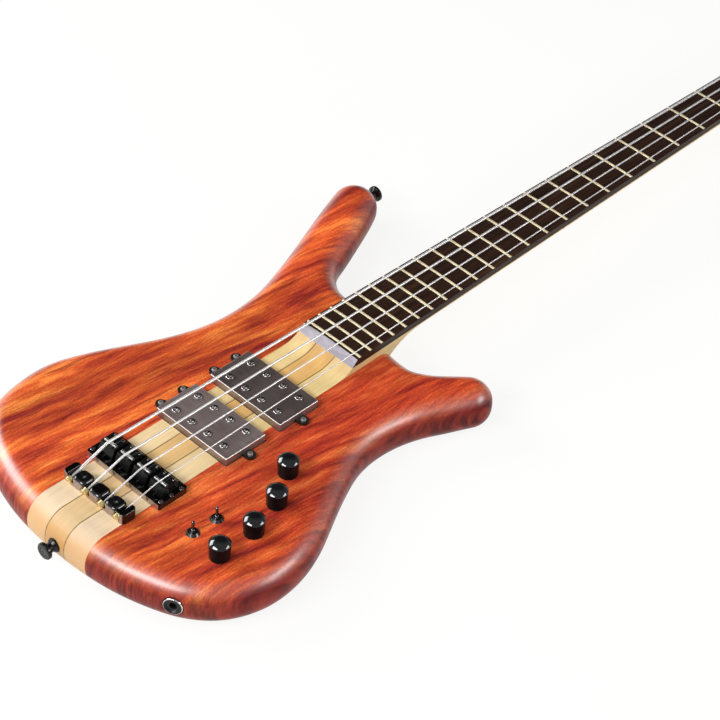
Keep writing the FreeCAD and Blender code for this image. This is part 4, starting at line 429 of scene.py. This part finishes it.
def wound_steel():
    """String with the fine turns of its outer wire across its length."""
    t = Tree("wound_steel")
    turns = t.add("ShaderNodeTexWave", wave_type="BANDS", bands_direction="X", wave_profile="SIN")
    t.put(t.scaled(even(1)), turns.inputs["Vector"])
    turns.inputs["Scale"].default_value = 640.0
    cloud = t.noise((30, 300, 300), 3.0, 0.6)
    t.set(Base_Color=t.spread(cloud, *STRING_PAIR), Metallic=0.6, Roughness=t.spread(cloud, 0.24, 0.36))
    t.bump(turns.outputs["Fac"], WINDING_DEPTH, 0.4)
    return t.material


# Finish of each piece

satin_black = coated("satin_black", (0.003, 0.003, 0.003), 0.12, 0.20)
jack_black = coated("jack_black", (0.004, 0.004, 0.004), 0.40, 0.55)
moulded_black = coated("moulded_black", (0.012, 0.012, 0.012), 0.42, 0.55, texture=1400.0, depth=GRAIN_DEPTH)
white_dot = coated("white_dot", (0.60, 0.60, 0.55), 0.25, 0.35, coat=0.3)
soft_foam = coated("soft_foam", (0.015, 0.015, 0.016), 0.85, 0.95, texture=900.0, depth=FOAM_DEPTH)
fret_metal = metal("fret_metal", (0.86, 0.75, 0.50), 0.22, 0.34, brush=(400, 60, 400), bare=0.35)
pole_steel = metal("pole_steel", (0.44, 0.42, 0.42), 0.20, 0.28)
screw_steel = metal("screw_steel", (0.32, 0.30, 0.29), 0.26, 0.36, bare=0.5)
dull_steel = metal("dull_steel", (0.50, 0.50, 0.51), 0.34, 0.48)
dark_steel = metal("dark_steel", (0.13, 0.125, 0.125), 0.16, 0.26)
brass = metal("brass", (0.92, 0.74, 0.34), 0.20, 0.32, bare=0.8)

saddles = ["saddle_" + c for c in STRING_LETTERS]
tuners = ["tuner_%s_%s" % (kind, c) for kind in ("key", "post") for c in STRING_LETTERS]
switches = ["switch_bodies", "switch_lever_1", "switch_lever_2"]
looks = {
    wing_wood(): ["body_wing_bass", "body_wing_treble"],
    maple("maple_side", MAPLE_SIDE_CREAM, MAPLE_SIDE_GOLD): ["neck_side_bass", "neck_side_treble"],
    maple("maple_core", MAPLE_CORE_CREAM, MAPLE_CORE_GOLD): ["neck_core"],
    stringer_wood(): ["neck_stringers"],
    fretboard_wood(): ["fretboard"],
    fret_metal: ["frets"],
    white_dot: ["side_dots"],
    moulded_black: ["nut", "truss_rod_cover", "control_cover"],
    soft_foam: ["pickup_foam_pads"],
    # The two pickups share one finish, with the rear one's top painted lighter and the front one's darker
    pickup_shell("pickup_shell_rear_lit", PICKUP_REAR_LIT_PAIR): ["pickup_rear"],
    pickup_shell("pickup_shell_front_shaded", PICKUP_FRONT_SHADED_PAIR): ["pickup_front"],
    pole_steel: ["pickup_poles", "bridge_screws"],
    screw_steel: ["small_screws"],
    saddle_steel(): ["saddle_fittings_" + c for c in STRING_LETTERS],
    dull_steel: ["truss_rod", "potentiometers", "battery"],
    jack_black: ["output_jack"],
    dark_steel: ["tailpiece_screws", "intonation_screws", "tuner_screws", "strap_screws"] + switches,
    knob_black(): ["knob_%d" % k for k in range(1, 5)],
    satin_black: ["strap_buttons", "tuner_housings", "tuner_bushings"] + saddles + tuners,
    black_plated(): ["tailpiece", "bridge_plate"],
    wound_steel(): ["string_" + c for c in STRING_LETTERS],
    brass: ["string_ball_ends"],
    ring_steel(): ["jack_ring"],
}
for finish, names in looks.items():
    for name in names:
        slots = nodes[name].data.materials
        slots.clear()
        slots.append(finish)

# Camera

back = Vector((sin(AZIMUTH) * cos(ELEVATION), -cos(AZIMUTH) * cos(ELEVATION), sin(ELEVATION)))
level = Vector((cos(AZIMUTH), sin(AZIMUTH), 0.0))
raised = back.cross(level)
right = level * cos(ROLL) + raised * sin(ROLL)
upright = raised * cos(ROLL) - level * sin(ROLL)
lens = bpy.data.cameras.new("photo_camera")
lens.sensor_width = SENSOR_WIDTH
lens.lens = FOCAL_LENGTH
camera = bpy.data.objects.new("photo_camera", lens)
turn = Matrix((right, upright, back)).transposed().to_4x4()
camera.matrix_world = Matrix.Translation(TARGET + back * DISTANCE) @ turn
bpy.context.scene.collection.objects.link(camera)
bpy.context.scene.camera = camera

# White floor that keeps the shadow of the part


def seen_directly(t):
    """1 for rays from the camera, or mirrored or passed on by gloss and glass."""
    path = t.add("ShaderNodeLightPath").outputs
    mirrored = t.math("MAXIMUM", path["Is Camera Ray"], path["Is Glossy Ray"])
    return t.math("MAXIMUM", mirrored, path["Is Transmission Ray"])


bpy.ops.mesh.primitive_plane_add(size=FLOOR_SIZE, location=FLOOR_MIDDLE)
floor = bpy.context.object
floor.name = "floor"
paper = Tree("floor_paper")
paper.set(Base_Color=paper.spread(paper.noise(even(6), 3.0, 0.5), 0.86, 0.89), Roughness=0.9)
glow = paper.add("ShaderNodeEmission")
glow.inputs["Color"].default_value = FLOOR_GLOW
blend = paper.add("ShaderNodeMixShader")
paper.put(paper.math("MULTIPLY", seen_directly(paper), FLOOR_GLOW_SHARE), blend.inputs[0])
paper.put(paper.shader.outputs[0], blend.inputs[1])
paper.put(glow.outputs[0], blend.inputs[2])
paper.put(blend.outputs[0], paper.tree.nodes["Material Output"].inputs["Surface"])
floor.data.materials.append(paper.material)

# Lamps


def softbox(name, place, aim, size, power):
    """White rectangular lamp at place, turned to aim."""
    lamp = bpy.data.lights.new(name, "AREA")
    lamp.shape = "RECTANGLE"
    lamp.size, lamp.size_y = size
    lamp.energy = power
    holder = bpy.data.objects.new(name, lamp)
    holder.location = place
    holder.rotation_euler = (Vector(aim) - Vector(place)).to_track_quat("-Z", "Y").to_euler()
    bpy.context.scene.collection.objects.link(holder)


for lamp_values in LAMPS:
    softbox(*lamp_values)

# Studio whose far upper side is dark, so that polished tops facing it stay dark

world = bpy.data.worlds.new("studio")
world.use_nodes = True
studio = world.node_tree
towards_dark = studio.nodes.new("ShaderNodeVectorMath")
towards_dark.operation = "DOT_PRODUCT"
direction = studio.nodes.new("ShaderNodeTexCoord").outputs["Generated"]
studio.links.new(direction, towards_dark.inputs[0])
towards_dark.inputs[1].default_value = DARK_SIDE
strength = studio.nodes.new("ShaderNodeMapRange")
strength.inputs["From Min"].default_value = DARK_FROM
strength.inputs["From Max"].default_value = DARK_FULL
strength.inputs["To Min"].default_value = SKY_STRENGTH
strength.inputs["To Max"].default_value = DARK_STRENGTH
studio.links.new(towards_dark.outputs["Value"], strength.inputs["Value"])
sky = studio.nodes["Background"]
sky.inputs["Color"].default_value = SKY_COLOUR
studio.links.new(strength.outputs["Result"], sky.inputs["Strength"])
bpy.context.scene.world = world
bpy.context.scene.view_settings.view_transform = "Standard"

bpy.context.view_layer.update()
